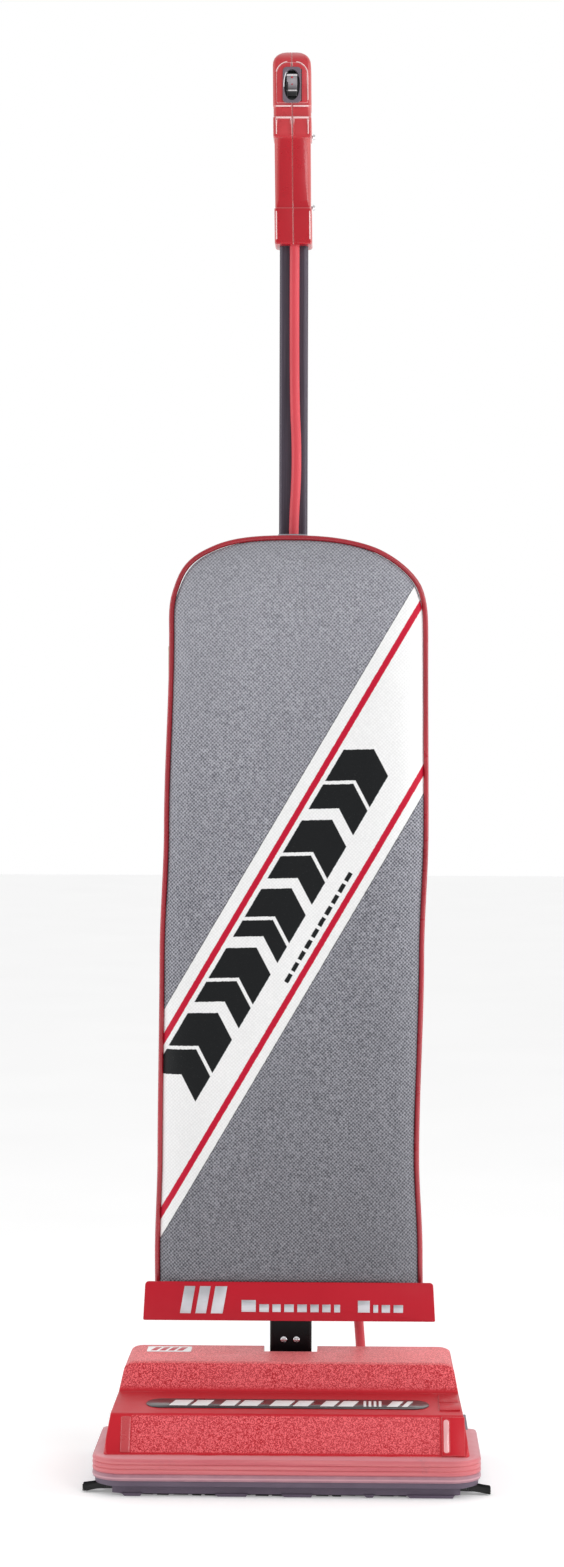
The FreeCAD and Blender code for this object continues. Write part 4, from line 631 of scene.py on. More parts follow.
def sweep(points, radius, sides=12, closed=False):
    """A round tube along points, with a frame that doesn't twist."""
    points = [Vector(p) for p in points]
    count = len(points)
    rows = []
    normal = None
    for i, p in enumerate(points):
        ahead = points[(i + 1) % count] if closed or i < count - 1 else p
        back = points[i - 1] if closed or i else p
        tangent = (ahead - back).normalized()
        if normal is None:
            normal = tangent.orthogonal().normalized()
        normal = (normal - tangent * normal.dot(tangent)).normalized()
        side = tangent.cross(normal)
        rows.append([p + (normal * math.cos(a) + side * math.sin(a)) * radius for a in turns(sides)])
    if closed:
        rows.append(rows[0])
    return grid(rows, True, not closed)


def rounded_rectangle(half_a, half_b, corner, steps=5):
    """Corner-rounded rectangle as (a, b) pairs, anticlockwise."""
    out = []
    for i, (sa, sb) in enumerate(((1, 1), (-1, 1), (-1, -1), (1, -1))):
        for j in range(steps + 1):
            angle = math.pi / 2 * (i + j / steps)
            out.append((sa * (half_a - corner) + corner * math.cos(angle),
                        sb * (half_b - corner) + corner * math.sin(angle)))
    return out


def plate(name, outline, place, thick, material, edge=0.0004):
    """A flat plate with a softened rim: outline in (a, b), place maps (a, b, height) to a point."""
    levels = [(0, 0), (0, thick - edge), (edge * 0.3, thick - edge * 0.3), (edge, thick)]
    middle = Vector([sum(p[k] for p in outline) / len(outline) for k in (0, 1)])
    rows = []
    for inset, height in levels:
        row = []
        for a, b in outline:
            away = Vector((a, b)) - middle
            away = away * (1 - inset / max(away.length, 1e-6))
            row.append(place(middle.x + away.x, middle.y + away.y, height))
        rows.append(row)
    return new_piece(name, *grid(rows, True, True), material, 50)


def join(name, parts):
    """Several mesh pieces as one, keeping their materials."""
    with bpy.context.temp_override(active_object=parts[0], selected_editable_objects=parts):
        bpy.ops.object.join()
    parts[0].name = name
    parts[0].data.name = name
    return parts[0]


# ---- Camera, light and floor ----
CAMERA_PLACE = (0.0579, -2.805, 0.6021)
CAMERA_YAW, CAMERA_PITCH, CAMERA_ROLL = (math.radians(angle) for angle in (1.334, -0.47, 0.17))
CAMERA_LENS = 76.4


def make_camera():
    """A camera a little to the right of the object and half way up it, on a 36 mm high frame."""
    data = bpy.data.cameras.new("camera")
    data.sensor_fit = "VERTICAL"
    data.sensor_height = 36
    data.lens = CAMERA_LENS
    data.clip_end = 60
    camera = bpy.data.objects.new("camera", data)
    bpy.context.scene.collection.objects.link(camera)
    yaw, pitch, roll = CAMERA_YAW, CAMERA_PITCH, CAMERA_ROLL
    ahead = Vector((-math.sin(yaw) * math.cos(pitch), math.cos(yaw) * math.cos(pitch), math.sin(pitch)))
    right = Vector((math.cos(yaw), math.sin(yaw), 0))
    up = right.cross(ahead)
    right, up = right * math.cos(roll) + up * math.sin(roll), up * math.cos(roll) - right * math.sin(roll)
    turn = Matrix((right, up, -ahead)).transposed().to_4x4()
    camera.matrix_world = Matrix.Translation(CAMERA_PLACE) @ turn
    bpy.context.scene.camera = camera


def make_light(name, size, energy, place, target):
    """A soft rectangular light that faces its target."""
    data = bpy.data.lights.new(name, "AREA")
    data.shape = "RECTANGLE"
    data.size, data.size_y = size
    data.energy = energy
    light = bpy.data.objects.new(name, data)
    bpy.context.scene.collection.objects.link(light)
    aim = (Vector(target) - Vector(place)).to_track_quat("-Z", "Y")
    light.matrix_world = Matrix.Translation(place) @ aim.to_matrix().to_4x4()


# Name, size, power, place and target.
LIGHTS = (
    ("key", (0.9, 1.3), 18, (1.5, -2.0, 1.9), (0, 0, 0.5)),
    ("left_strip", (0.3, 1.5), 7, (-1.6, -0.35, 0.7), (0, -0.05, 0.6)),
    ("crown_fill", (0.27, 0.07), 0.05, (0, 0.035, 0.122), (0, 0.0351, 0)),
    ("right_strip", (0.3, 1.5), 9, (1.6, -0.35, 0.7), (0, -0.05, 0.6)),
)


def make_studio():
    """White surroundings, dimmer towards the front except to the camera, four lights and a pale floor."""
    world = bpy.data.worlds.new("studio")
    world.use_nodes = True
    tree = world.node_tree
    back = tree.nodes["Background"]
    where = tree.nodes.new("ShaderNodeTexCoord")
    parts = tree.nodes.new("ShaderNodeSeparateXYZ")
    tree.links.new(where.outputs["Generated"], parts.inputs[0])
    depth = tree.nodes.new("ShaderNodeMapRange")
    for key, value in (("From Min", -0.6), ("From Max", 0.5), ("To Min", 0.46), ("To Max", 1.0)):
        depth.inputs[key].default_value = value
    tree.links.new(parts.outputs["Y"], depth.inputs["Value"])
    path = tree.nodes.new("ShaderNodeLightPath")
    level = tree.nodes.new("ShaderNodeMath")
    level.operation = "MAXIMUM"
    tree.links.new(depth.outputs[0], level.inputs[0])
    tree.links.new(path.outputs["Is Camera Ray"], level.inputs[1])
    tree.links.new(level.outputs[0], back.inputs["Strength"])
    back.inputs["Color"].default_value = (1.0, 1.0, 1.0, 1)
    bpy.context.scene.world = world
    bpy.context.scene.view_settings.view_transform = "Standard"
    for light in LIGHTS:
        make_light(*light)
    g = Graph("floor_white", (0.92, 0.92, 0.92), Roughness=0.9, Specular_IOR_Level=0.1,
              Emission_Color=(1, 1, 1, 1), Emission_Strength=0.235)
    tint = g.mix(g.drift(3, 3), (0.90, 0.90, 0.90), (0.93, 0.93, 0.93))
    g.finish(tint, None, g.bump(g.noise(200, 2), 0.0001, 0.2))
    rows = [[(x, y, 0) for x in (-9, -3, 3, 9)] for y in (-6, 0, 6, 14)]
    floor = new_piece("floor", *grid(rows), g.material)
    for polygon in floor.data.polygons:
        if polygon.normal.z < 0:
            polygon.flip()


make_camera()
make_studio()

# ---- Cord from the switch to the head ----
# The lead's route in millimetres: down the front of the tube, behind the bag and into the hood.
CORD_POINTS = [
    (0.9, 60.5, 1078), (0.6, 60.5, 1000), (1.1, 60.5, 905), (2.9, 60.5, 872), (2.7, 60.5, 838),
    (0.7, 60.5, 806), (0.1, 60.5, 745), (0.8, 60.5, 650), (-0.6, 60.5, 545), (0.2, 60.5, 455),
    (4.0, 60.3, 390), (13.5, 60.2, 338), (25.5, 63.0, 296), (36.0, 71.0, 256), (44.0, 81.0, 220),
    (50.0, 90.0, 184), (54.0, 97.0, 152), (57.3, 101.5, 125), (59.8, 95.0, 97), (62.0, 69.0, 70.0)]
CORD_RADIUS = 4.2 * MM


def make_cord():
    """The red lead, as a tube along a smooth curve through the route."""
    data = bpy.data.curves.new("cord_route", "CURVE")
    data.dimensions = "3D"
    spline = data.splines.new("NURBS")
    spline.points.add(len(CORD_POINTS) - 1)
    for point, place in zip(spline.points, CORD_POINTS):
        point.co = (*(Vector(place) * MM), 1)
    spline.order_u = 3
    spline.use_endpoint_u = True
    spline.resolution_u = 6
    route = bpy.data.objects.new("cord_route", data)
    bpy.context.scene.collection.objects.link(route)
    line = bpy.data.meshes.new_from_object(route)
    path = [v.co.copy() for v in line.vertices]
    bpy.data.objects.remove(route)
    cord = new_piece("switch_cord", *sweep(path, CORD_RADIUS, 20), MAT["cord"])
    length = sum((b - a).length for a, b in zip(path, path[1:]))
    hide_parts("switch_cord_upper", "switch_cord_lower")
    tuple(path[0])
    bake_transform(cord)


make_cord()


# ---- Head: hood, labels, bumper and edge brushes ----
def softened(node, name, material, width, weight):
    """A copy of a CAD node that stands for it, its sharp edges rounded by a width times their weight."""
    mesh = NODES[node].data.copy()
    obj = bpy.data.objects.new(name, mesh)
    bpy.context.scene.collection.objects.link(obj)
    work = bmesh.new()
    work.from_mesh(mesh)
    bmesh.ops.remove_doubles(work, verts=work.verts, dist=2e-6)
    bmesh.ops.dissolve_limit(work, angle_limit=math.radians(0.8), verts=work.verts, edges=work.edges,
                             use_dissolve_boundaries=False)
    sharp = math.radians(28)
    layer = work.edges.layers.float.new("bevel_weight_edge")
    for edge in work.edges:
        if len(edge.link_faces) == 2 and edge.calc_face_angle(0) > sharp:
            a, b = (v.co for v in edge.verts)
            edge[layer] = weight((a + b) / 2, (b - a).normalized())
    work.to_mesh(mesh)
    work.free()
    add(obj, "BEVEL", width=width, segments=3, limit_method="WEIGHT", use_clamp_overlap=True,
        miter_outer="MITER_ARC")
    bake(obj, 40)
    dress(obj, material)
    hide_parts(node)
    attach(obj, body_of_node(node))
    return obj


def body_of_node(node):
    """The body that a CAD node rides on."""
    return NODES[node]["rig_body"]


LIP_FOOT_Y, LIP_FOOT_Z, LIP_RUN, LIP_RISE = -105 * MM, 32.5 * MM, 19 * MM, 30.5 * MM


def on_lip(a, b, height):
    """A point on the hood's sloping front lip: a across it, b up it from the hood's lower edge."""
    length = math.hypot(LIP_RUN, LIP_RISE)
    run, rise = LIP_RUN / length, LIP_RISE / length
    return Vector((a, LIP_FOOT_Y + b * run - height * rise, LIP_FOOT_Z + b * rise + height * run))


def round_crown(hood):
    """Rounds the crown down towards its two ends."""
    work = bmesh.new()
    work.from_mesh(hood.data)
    start, radius, droop, foot = 127.5 * MM, 11 * MM, 0.6, 84 * MM
    for share in (0.0, 0.3, 0.5, 0.65, 0.78, 0.88, 0.95):
        for sign in (-1, 1):
            bmesh.ops.bisect_plane(work, geom=work.verts[:] + work.edges[:] + work.faces[:],
                                   plane_co=(sign * (start + radius * share), 0, 0), plane_no=(1, 0, 0))
    for vert in work.verts:
        over = min(max(abs(vert.co.x) - start, 0.0) / radius, 1.0)
        top = min(max((vert.co.z - foot) / (8 * MM), 0.0), 1.0)
        vert.co.z -= droop * radius * (1 - math.sqrt(1 - over * over)) * top
    work.to_mesh(hood.data)
    work.free()


EDGE_ROUND, SOFT_EDGE, SLIGHT_EDGE = 7 * MM, 0.7, 0.2      # a rounding, and the shares of it that edges take


def make_hood():
    """The hood with its rounded crown, the pads and steps on its lip and ledge, and two beads on its lip
    coloured as painted highlights.
    """
    def weight(middle, along):
        end_of_crown = middle.z > 90 * MM and abs(middle.x) > 134 * MM and abs(along.x) < 0.5
        rear_corner = abs(along.z) > 0.5 and middle.y > 60 * MM and abs(middle.x) > 120 * MM
        return SOFT_EDGE if end_of_crown or rear_corner else SLIGHT_EDGE
    hood = softened("hood", "hood_shell", MAT["hood"], EDGE_ROUND, weight)
    round_crown(hood)
    hood.data.materials.append(MAT["crown"])
    for polygon in hood.data.polygons:
        if polygon.center.z > 88 * MM and polygon.normal.z > 0.6:
            polygon.material_index = 1
    parts = [hood]

    def box(x0, x1, b0, b1):
        return mm([(x0, b0), (x1, b0), (x1, b1), (x0, b1)])
    parts.append(plate("cover_pad", box(126.6, 145.5, 1.2, 34.6), on_lip, 0.9 * MM, MAT["hood"], 0.5 * MM))
    for name, outline in (("cover_step", box(125.5, 142.5, -72.5, -53)),
                          ("cover_catch", box(125.5, 141.5, -50.5, -29))):
        parts.append(plate(name, outline, lambda a, b, h: Vector((a, b, ledge_height(b) - 0.6 * MM + h)),
                           1.3 * MM, MAT["hood"], 0.5 * MM))
    # Beads on the lip's two ends, coloured as painted highlights.
    for name, centre, half, rise in (("bright_bead_highlight", 130.4, 2.9, 1.5), ("soft_bead_highlight", -131.6, 3.8, 0.7)):
        rows = []
        for b, full in ((2.6, 0.1), (3.4, 0.6), (5.0, 1.0), (30.5, 1.0), (32.4, 0.6), (33.4, 0.1)):
            swell = rise * full
            rows.append([on_lip((centre + half * math.cos(t)) * MM, b * MM, (swell * math.sin(t) - 0.1) * MM)
                         for t in (math.pi * k / 12 for k in range(13))])
        parts.append(new_piece(name, *grid(rows, True, True), MAT[name], 60))
    hood = join("hood_shell", parts)


def ledge_height(y):
    """Height of the label strip's top face at a depth y: the ledge climbs 5.5 mm over its 65 mm."""
    front, lowest = -86 * MM, 63.8 * MM
    return lowest + (y - front) * 5.5 / 65


def make_label_strip():
    """Black oval strip on the ledge with plain white bars, each split in two, and four thin uprights."""
    def on_ledge(a, b, height):
        y = b - 57 * MM
        return Vector((a, y, ledge_height(y) - 0.6 * MM + height))
    outline = rounded_rectangle(117 * MM, 13 * MM, 12.9 * MM, 8)
    parts = [plate("ledge_strip", outline, on_ledge, 0.6 * MM, MAT["strip"], 0.3 * MM)]
    marks = []
    for low, high, split in ((-98, -61, 15), (-56, -20, 12), (-15, 22, 16), (27, 59, 11), (82, 104, 9)):
        for start, end in ((low, low + split), (low + split + 3.5, high - 5)):
            marks.append([(start, -7.5), (end, -7.5), (end + 5, 8.5), (start + 5, 8.5)])
    for i in range(4):
        marks.append([(a + 64 + 4.2 * i, b + 0.5) for a, b in rounded_rectangle(1.1, 8, 0.3, 2)])
    for mark in marks:
        parts.append(plate("label_mark", mm(mark), lambda a, b, h: on_ledge(a, b, h + 0.6 * MM),
                           0.12 * MM, MAT["white"], 0.05 * MM))
    strip = join("ledge_strip", parts)
    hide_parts("hood_label_strip")
    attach(strip, "head")


def make_badge():
    """Small white plate on the crown with four slanting red bars."""
    low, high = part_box("hood_badge")
    cx, cy = (low.x + high.x) / 2, (low.y + high.y) / 2
    outline = rounded_rectangle((high.x - low.x) / 2, (high.y - low.y) / 2, 2 * MM, 4)

    def on_crown(a, b, height):
        return Vector((cx + a, cy + b, low.z + height))
    parts = [plate("crown_badge", outline, on_crown, 0.4 * MM, MAT["white"], 0.15 * MM)]
    for i in range(4):
        foot = -16 + 7.5 * i
        shape = mm([(foot, -8), (foot + 5, -8), (foot + 9, 8), (foot + 4, 8)])
        parts.append(plate("badge_bar", shape, lambda a, b, h: on_crown(a, b, h + 0.4 * MM),
                           0.08 * MM, MAT["label_red"], 0.03 * MM))
    badge = join("crown_badge", parts)
    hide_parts("hood_badge")
    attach(badge, "head")


def bumper_path(steps=9):
    """Plan of the bumper's outer face: forward along the left side, round the front and back along the
    right. Each point's third number counts its steps from the nearer tail, or is 99 past the sides."""
    half, front, back, corner = 159 * MM, -116 * MM, 34 * MM, 26 * MM
    out = [(-half, back - t * (back - front - corner) / 14, t) for t in range(14)]
    for sign, start in ((-1, math.pi), (1, 1.5 * math.pi)):
        for j in range(steps + 1):
            angle = start + math.pi / 2 * j / steps
            out.append((sign * (half - corner) + corner * math.cos(angle),
                        front + corner + corner * math.sin(angle), 99))
        if sign < 0:
            out += [(-half + corner + (2 * half - 2 * corner) * k / 24, front, 99) for k in range(1, 24)]
    out += [(half, back - t * (back - front - corner) / 14, t) for t in range(13, -1, -1)]
    return out


def make_bumper():
    """Vinyl bumper: three rounded ribs over a plain band, its two tails sloping down at the back."""
    section = [(-6.9, 9.4), (-6.9, 31.4), (-7.2, 32.24), (-13.5, 32.24), (-13.5, 32.44), (-6.6, 32.44),
               (-5.2, 32.3), (-2.6, 31.95), (-0.9, 31.4)]
    for rib in range(3):
        top = 30.6 - rib * 3.9
        for share, out in ((0.0, -0.75), (0.22, -0.15), (0.5, 0.0), (0.78, -0.15), (1.0, -0.75)):
            section.append((out, top - share * 3.5))
        section.append((-1.1, top - 3.7))
    section += [(-0.5, 18.6), (-0.2, 17.6), (0.0, 16.4), (0.0, 15.4), (-0.4, 14.4), (-0.7, 13.7),
                (-1.9, 13.4), (-2.0, 12.8), (-2.2, 9.6), (-2.6, 9.1), (-3.0, 9.0), (-6.0, 9.05)]
    path = bumper_path()
    foot = 9
    rows = []
    for i, (x, y, tail) in enumerate(path):
        ahead = Vector(path[min(i + 1, len(path) - 1)][:2])
        back = Vector(path[max(i - 1, 0)][:2])
        along = (ahead - back).normalized()
        outward = Vector((along.y, -along.x))
        share = 1.0 if tail > 3 else (0.72, 0.90, 0.97, 0.995)[tail]
        rows.append([Vector((x + outward.x * a * MM, y + outward.y * a * MM,
                             (foot + (b - foot) * share) * MM)) for a, b in section])
    bumper = new_piece("bumper_moulding", *grid(rows, True, True), MAT["bumper"], 50)
    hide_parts("bumper")
    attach(bumper, "head")


def add_bristle(points, faces, rings, across, up):
    """A three-sided bristle through rings of a centre and a radius in millimetres, closed at its tip."""
    start = len(points)
    for centre, radius in rings:
        for angle in turns(3):
            points.append((centre + (across * math.cos(angle) + up * math.sin(angle)) * radius) * MM)
    last = start + 3 * (len(rings) - 1)
    for base in range(start, last, 3):
        for k in range(3):
            n = (k + 1) % 3
            faces.append((base + k, base + n, base + 3 + n, base + 3 + k))
    faces.append((last, last + 1, last + 2))


def make_edge_brush(side, sign):
    """Stiff bristles that fan out from a holder under the bumper's corner."""
    chance = random.Random(11 if sign > 0 else 12)
    across, up = Vector((0, 1, 0)), Vector((0, 0, 1))
    points, faces = [], []
    for _ in range(520):
        y = -95.7 + 9.4 * chance.random()
        z = 3.4 + 5.0 * chance.random()
        reach = 160 + 6.9 * chance.random() ** 0.5
        drop = 2.2 + chance.uniform(-0.6, 0.6)
        root = Vector((sign * 142, y, z))
        knee = Vector((sign * 154, y + chance.uniform(-0.4, 0.4), z - 0.3))
        tip = Vector((sign * reach, y + chance.uniform(-1.2, 1.2), max(z - drop, 0.5)))
        add_bristle(points, faces, ((root, 0.34), (knee, 0.34), (tip, 0.22)), across, up)
    tuft = new_piece("edge_tuft_" + side, points, faces, MAT["bristle"], 60)
    outline = rounded_rectangle(4.7 * MM, 6.5 * MM, 1.5 * MM, 3)
    holder = plate("edge_holder_" + side, outline,
                   lambda a, b, h: Vector((sign * 142.7 * MM + a, -91 * MM + b, 3.9 * MM + h)),
                   3 * MM, MAT["black"], 0.5 * MM)
    brush = join("edge_tuft_" + side, [tuft, holder])
    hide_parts("edge_brush_" + side)
    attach(brush, "head")


def make_skirt_tabs():
    """Short tabs and a dark felt strip along the lower front edge of the chassis tray."""
    chance = random.Random(21)
    parts = []
    front = -109.6

    def hung(name, outline, inset, thick, material, edge):
        """An upright plate whose face stands a little behind the tray's front."""
        parts.append(plate(name, mm(outline), lambda a, b, h: Vector((a, (front + inset) * MM - h, b)),
                           thick * MM, MAT[material], edge * MM))
    for x0, x1 in ((-134, -117), (-58, -31), (-4, 22), (63, 72), (98, 137)):
        hung("tab", [(x0, 2.6), (x1, 2.6), (x1 - 1.5, 0.35), (x0 + 2.5, 0.35)], 2, 2, "base", 0.3)
    hung("felt", [(-133, 3), (136, 3), (136, 1.5), (-133, 1.5)], 3.4, 1, "bristle", 0.2)
    x = -116.0
    while x < 97:
        wide = chance.uniform(7, 15)
        drop = chance.uniform(0.5, 1.5)
        scrap = [(x, 2.8), (x + wide, 2.8), (x + wide - 0.8, drop), (x + 0.8, drop + 0.2)]
        hung("felt", scrap, 3.9, 1.5, "bristle", 0.2)
        x += wide + chance.uniform(0.5, 3.0)
    tabs = join("skirt_tabs", parts)
    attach(tabs, "head")


make_skirt_tabs()
make_hood()
make_label_strip()
make_badge()
make_bumper()
for side, sign in (("left", -1), ("right", 1)):
    make_edge_brush(side, sign)


# ---- Bag ----
# Millimetres: half the seam's width, its lowest and highest points, its depth and the back panel's.
BAG_HALF, BAG_BASE, BAG_TOP, SEAM_Y, BACK_Y = 110.0, 142.0, 787.0, 11.0, 52.6

# How the front panel swells from its rim, stays in front of the strip and is hemmed in behind it; how the
# back panel tucks in; and how far out the side cloth stands.
RIM_FLAT, SWELL_RUN, SWELL_DEEP, FOREMOST, STRIP_TOP, BEHIND_STRIP = 1.2, 45.0, 19.6, -10.8, 162, -4.8
TUCK_RUN, TUCK_DEEP, BACK_DENT, SIDE_OUT, SIDE_TOP = 11.0, 9.5, 2.0, 102, 735

# How far the outline wanders sideways and widens, by height.
SWAY = ((142, -0.5), (180, -0.9), (264, -1.5), (433, 1.0), (540, 4.4), (700, 6.0), (742, 5.4), (775, 1.0),
        (787, -2.0))
WIDTH = ((142, 1.4), (180, 1.4), (264, -1.2), (430, 0.0), (540, 0.0), (700, -2.4), (787, -2.2))


def along_table(table, z):
    """A smooth value between listed pairs of height and value."""
    for (z0, a), (z1, b) in zip(table, table[1:]):
        if z <= z1:
            t = min(max((z - z0) / (z1 - z0), 0.0), 1.0)
            return a + (b - a) * t * t * (3 - 2 * t)
    return table[-1][1]


def hang(x, z):
    """Where a point of the upright outline stands: the bag leans, and its sides wander in and out."""
    return x * (1 + along_table(WIDTH, z) / BAG_HALF) + along_table(SWAY, z)


def bag_sides(inset=0.0):
    """Outline of the seam in (x, z): left side, top and right side, each from one corner to the next."""
    half, top, rise, power = BAG_HALF - inset, BAG_TOP - inset, 74.0, 2 / 2.6
    turn = 12
    arch = []
    for i in range(49):
        angle = math.pi * i / 48
        across = math.copysign(abs(math.cos(angle)) ** power, math.cos(angle))
        arch.append((half * across, top - rise + rise * math.sin(angle) ** power))
    right = [(half, BAG_BASE + (top - rise - BAG_BASE) * t / 60) for t in range(60)] + arch[:turn + 1]
    left = [(-x, z) for x, z in right]
    return left, list(reversed(arch[turn:-turn])), right


def crowded(t):
    """Spreads steps so that they crowd towards both ends."""
    return 0.45 * t + 0.55 * (0.5 - 0.5 * math.cos(math.pi * t))


def resample(line, count, crowd=False):
    """Points along a line of pairs, evenly or crowded towards its ends."""
    lengths = [0.0]
    for (ax, az), (bx, bz) in zip(line, line[1:]):
        lengths.append(lengths[-1] + math.hypot(bx - ax, bz - az))
    out, k = [], 0
    for i in range(count + 1):
        want = lengths[-1] * (crowded(i / count) if crowd else i / count)
        while k < len(line) - 2 and lengths[k + 1] < want:
            k += 1
        t = (want - lengths[k]) / max(lengths[k + 1] - lengths[k], 1e-9)
        out.append(tuple(a + (b - a) * t for a, b in zip(line[k], line[k + 1])))
    return out


def coons(left, top, right, columns, rows):
    """A smooth grid of (x, z) between the three sides and a straight bottom."""
    left, right, top = resample(left, rows), resample(right, rows), resample(top, columns, True)
    out = []
    for j in range(rows + 1):
        v = j / rows
        row = []
        for i in range(columns + 1):
            u = crowded(i / columns)
            foot = (left[0][0] + (right[0][0] - left[0][0]) * u, left[0][1])
            p = []
            for k in range(2):
                value = (1 - v) * foot[k] + v * top[i][k] + (1 - u) * left[j][k] + u * right[j][k]
                value -= ((1 - u) * (1 - v) * left[0][k] + u * (1 - v) * right[0][k]
                          + (1 - u) * v * left[-1][k] + u * v * right[-1][k])
                p.append(value)
            row.append(tuple(p))
        out.append(row)
    return out


def make_bag():
    """The cloth bag as one closed shell, and the piping on its front seam."""
    columns, rows, gusset_steps = 64, 150, 8
    left, top, right = bag_sides(2.0)
    flat = coons(left, top, right, columns, rows)
    rim = left[:1] + left[60:] + top[1:] + right[-2:59:-1] + right[:1]

    def edge_distance(x, z):
        """How far a point of the flat panel is from its rim, with the straight foot counted further."""
        best = (z - BAG_BASE) * 1.5
        for (ax, az), (bx, bz) in zip(rim, rim[1:]):
            ux, uz = bx - ax, bz - az
            t = min(max(((x - ax) * ux + (z - az) * uz) / (ux * ux + uz * uz), 0.0), 1.0)
            best = min(best, math.hypot(ax + ux * t - x, az + uz * t - z))
        return best
    front, rear = [], []
    for row in flat:
        front_row, rear_row = [], []
        for x, z in row:
            d = edge_distance(x, z)
            swell = 1 - min(max(d - RIM_FLAT, 0.0) / SWELL_RUN, 1.0)
            fold = noise.noise(Vector((x * 0.017, 3.1, z * 0.011))) * 1.5
            fold += noise.noise(Vector((x * 0.045, 7.7, z * 0.016))) * 0.7
            crease = math.sin(z * 0.105 + 1.4 * noise.noise(Vector((x * 0.03, 1.0, z * 0.02)))) * 0.5
            crease *= max(0.0, 1 - abs(d - 10) / 14)
            depth = SWELL_DEEP * math.sqrt(max(0.0, 1 - swell * swell))
            soft = min(d / 12.0, 1.0)
            y = max(SEAM_Y - depth + (fold + crease) * soft, FOREMOST)
            if z < STRIP_TOP:
                y = max(y, BEHIND_STRIP)
            front_row.append(Vector((hang(x, z), y, z)) * MM)
            tuck = 1 - min(d / TUCK_RUN, 1.0)
            back = BACK_Y - TUCK_DEEP * (1 - math.sqrt(max(0.0, 1 - tuck * tuck)))
            back -= (0.5 + 0.5 * noise.noise(Vector((x * 0.02, 9.0, z * 0.014)))) * BACK_DENT * soft
            rear_row.append(Vector((hang(x, z), min(back, BACK_Y), z)) * MM)
        front.append(front_row)
        rear.append(rear_row)
    points, faces = grid(front)
    offset = len(points)
    more, back_faces = grid(rear)
    points += more
    faces += [tuple(offset + k for k in reversed(face)) for face in back_faces]
    width = columns + 1
    ring = [j * width for j in range(rows + 1)] + [rows * width + i for i in range(1, width)]
    ring += [j * width + columns for j in range(rows - 1, -1, -1)] + [i for i in range(columns - 1, 0, -1)]
    layers = [ring]
    for k in range(1, gusset_steps):
        t = k / gusset_steps
        layer = []
        for n in ring:
            a, b = points[n], points[offset + n]
            p = a.lerp(b, t)
            middle = min(1.3 * (4 * t * (1 - t)) ** 0.7, 1.0)
            rest = SIDE_OUT * MM * (1 + 0.004 * noise.noise(Vector((t * 2.0, 0.5, p.z * 20))))
            if abs(p.x) > 0.085 and p.z < SIDE_TOP * MM:
                p.x += (math.copysign(rest, p.x) - p.x) * middle
            points.append(p)
            layer.append(len(points) - 1)
        layers.append(layer)
    layers.append([offset + n for n in ring])
    count = len(ring)
    for a, b in zip(layers, layers[1:]):
        for i in range(count):
            n = (i + 1) % count
            faces.append((a[n], a[i], b[i], b[n]))
    bag = new_piece("cloth_bag", points, faces, MAT["bag"], 70)
    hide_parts("bag_cloth")
    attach(bag, "handle")
    left, top, right = bag_sides()
    seam = resample(left, 120) + resample(top, 60)[1:] + resample(right, 120)[-2::-1]
    welt = [Vector((hang(x, z), SEAM_Y + 0.2 * math.sin(z * 0.06), z)) * MM for x, z in seam]
    piping = new_piece("seam_piping", *sweep(welt, 2.2 * MM, 16), MAT["piping"])
    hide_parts("bag_piping")
    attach(piping, "handle")


make_bag()


# ---- Banner and bars ----
def make_banner():
    """Red strip at the foot of the bag, narrower at its top corners, with plain silver bars."""
    low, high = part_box("banner")
    half, top, bottom, thick = high.x, high.z, low.z, high.y - low.y
    outline = []
    for x, z, corner in ((half, top, 3), (-half, top, 3), (-half, bottom, 1.2), (half, bottom, 1.2)):
        wide = 0.0 if z == bottom else 1.6 * MM
        cx = x - math.copysign(wide + corner * MM, x)
        cz = z - math.copysign(corner * MM, z - (top + bottom) / 2)
        quarter = {(True, True): 0, (False, True): 1, (False, False): 2, (True, False): 3}[(x > 0, z == top)]
        for k in range(5):
            angle = math.radians(90 * quarter + 22.5 * k)
            outline.append((cx + corner * MM * math.cos(angle), cz + corner * MM * math.sin(angle)))

    def face(a, b, height):
        return Vector((a, high.y - height, b))
    parts = [plate("banner_strip", outline, face, thick - 0.35 * MM, MAT["banner"], 0.5 * MM)]

    def bar(a0, a1, b0, b1, slant=0.0):
        shape = mm([(a0, b0), (a1, b0), (a1 + slant, b1), (a0 + slant, b1)])
        parts.append(plate("bar", shape, lambda a, b, h: face(a, b, h + thick - 0.35 * MM), 0.3 * MM,
                           MAT["silver"], 0.08 * MM))
    for low_a, high_a in ((-92, -83), (-79, -70), (-66, -56)):
        bar(low_a, high_a, 132.5, 155.5, 4)
    for low_a, high_a, tall in ((-40, -28, 10), (-25, -17, 6.5), (-14, -7, 6.5), (-4, 4, 6.5), (7, 15, 6.5),
                                (18, 25, 6.5), (28, 35, 6.5), (38, 43, 6.5), (58, 68, 10), (71, 75, 6.5),
                                (78, 85, 6.5), (88, 96, 6.5)):
        bar(low_a, high_a, 134, 134 + tall)
    banner = join("banner_strip", parts)
    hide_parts("banner")
    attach(banner, "handle")


make_banner()

# ---- Grip and switch ----
GRIP_FOOT, GRIP_DEEP = 1042.0, 38.0
BEZEL = Vector((0, 62.58, 1180)) * MM
LEAN = math.radians(7.97)


def grip_front(z):
    """Depth of the grip's front at a height, in millimetres: it leans back towards the top."""
    return 52.5 + along_table(((1042, 0), (1072, 0), (1104, 1.4), (1142, 4.9), (1169, 8.7), (1199, 12.9),
                               (1211, 15.0)), z)


def grip_drift(z):
    """The grip leans a little to the left towards its top."""
    return -2.2 * max(0.0, z - GRIP_FOOT) / 169 - 0.3


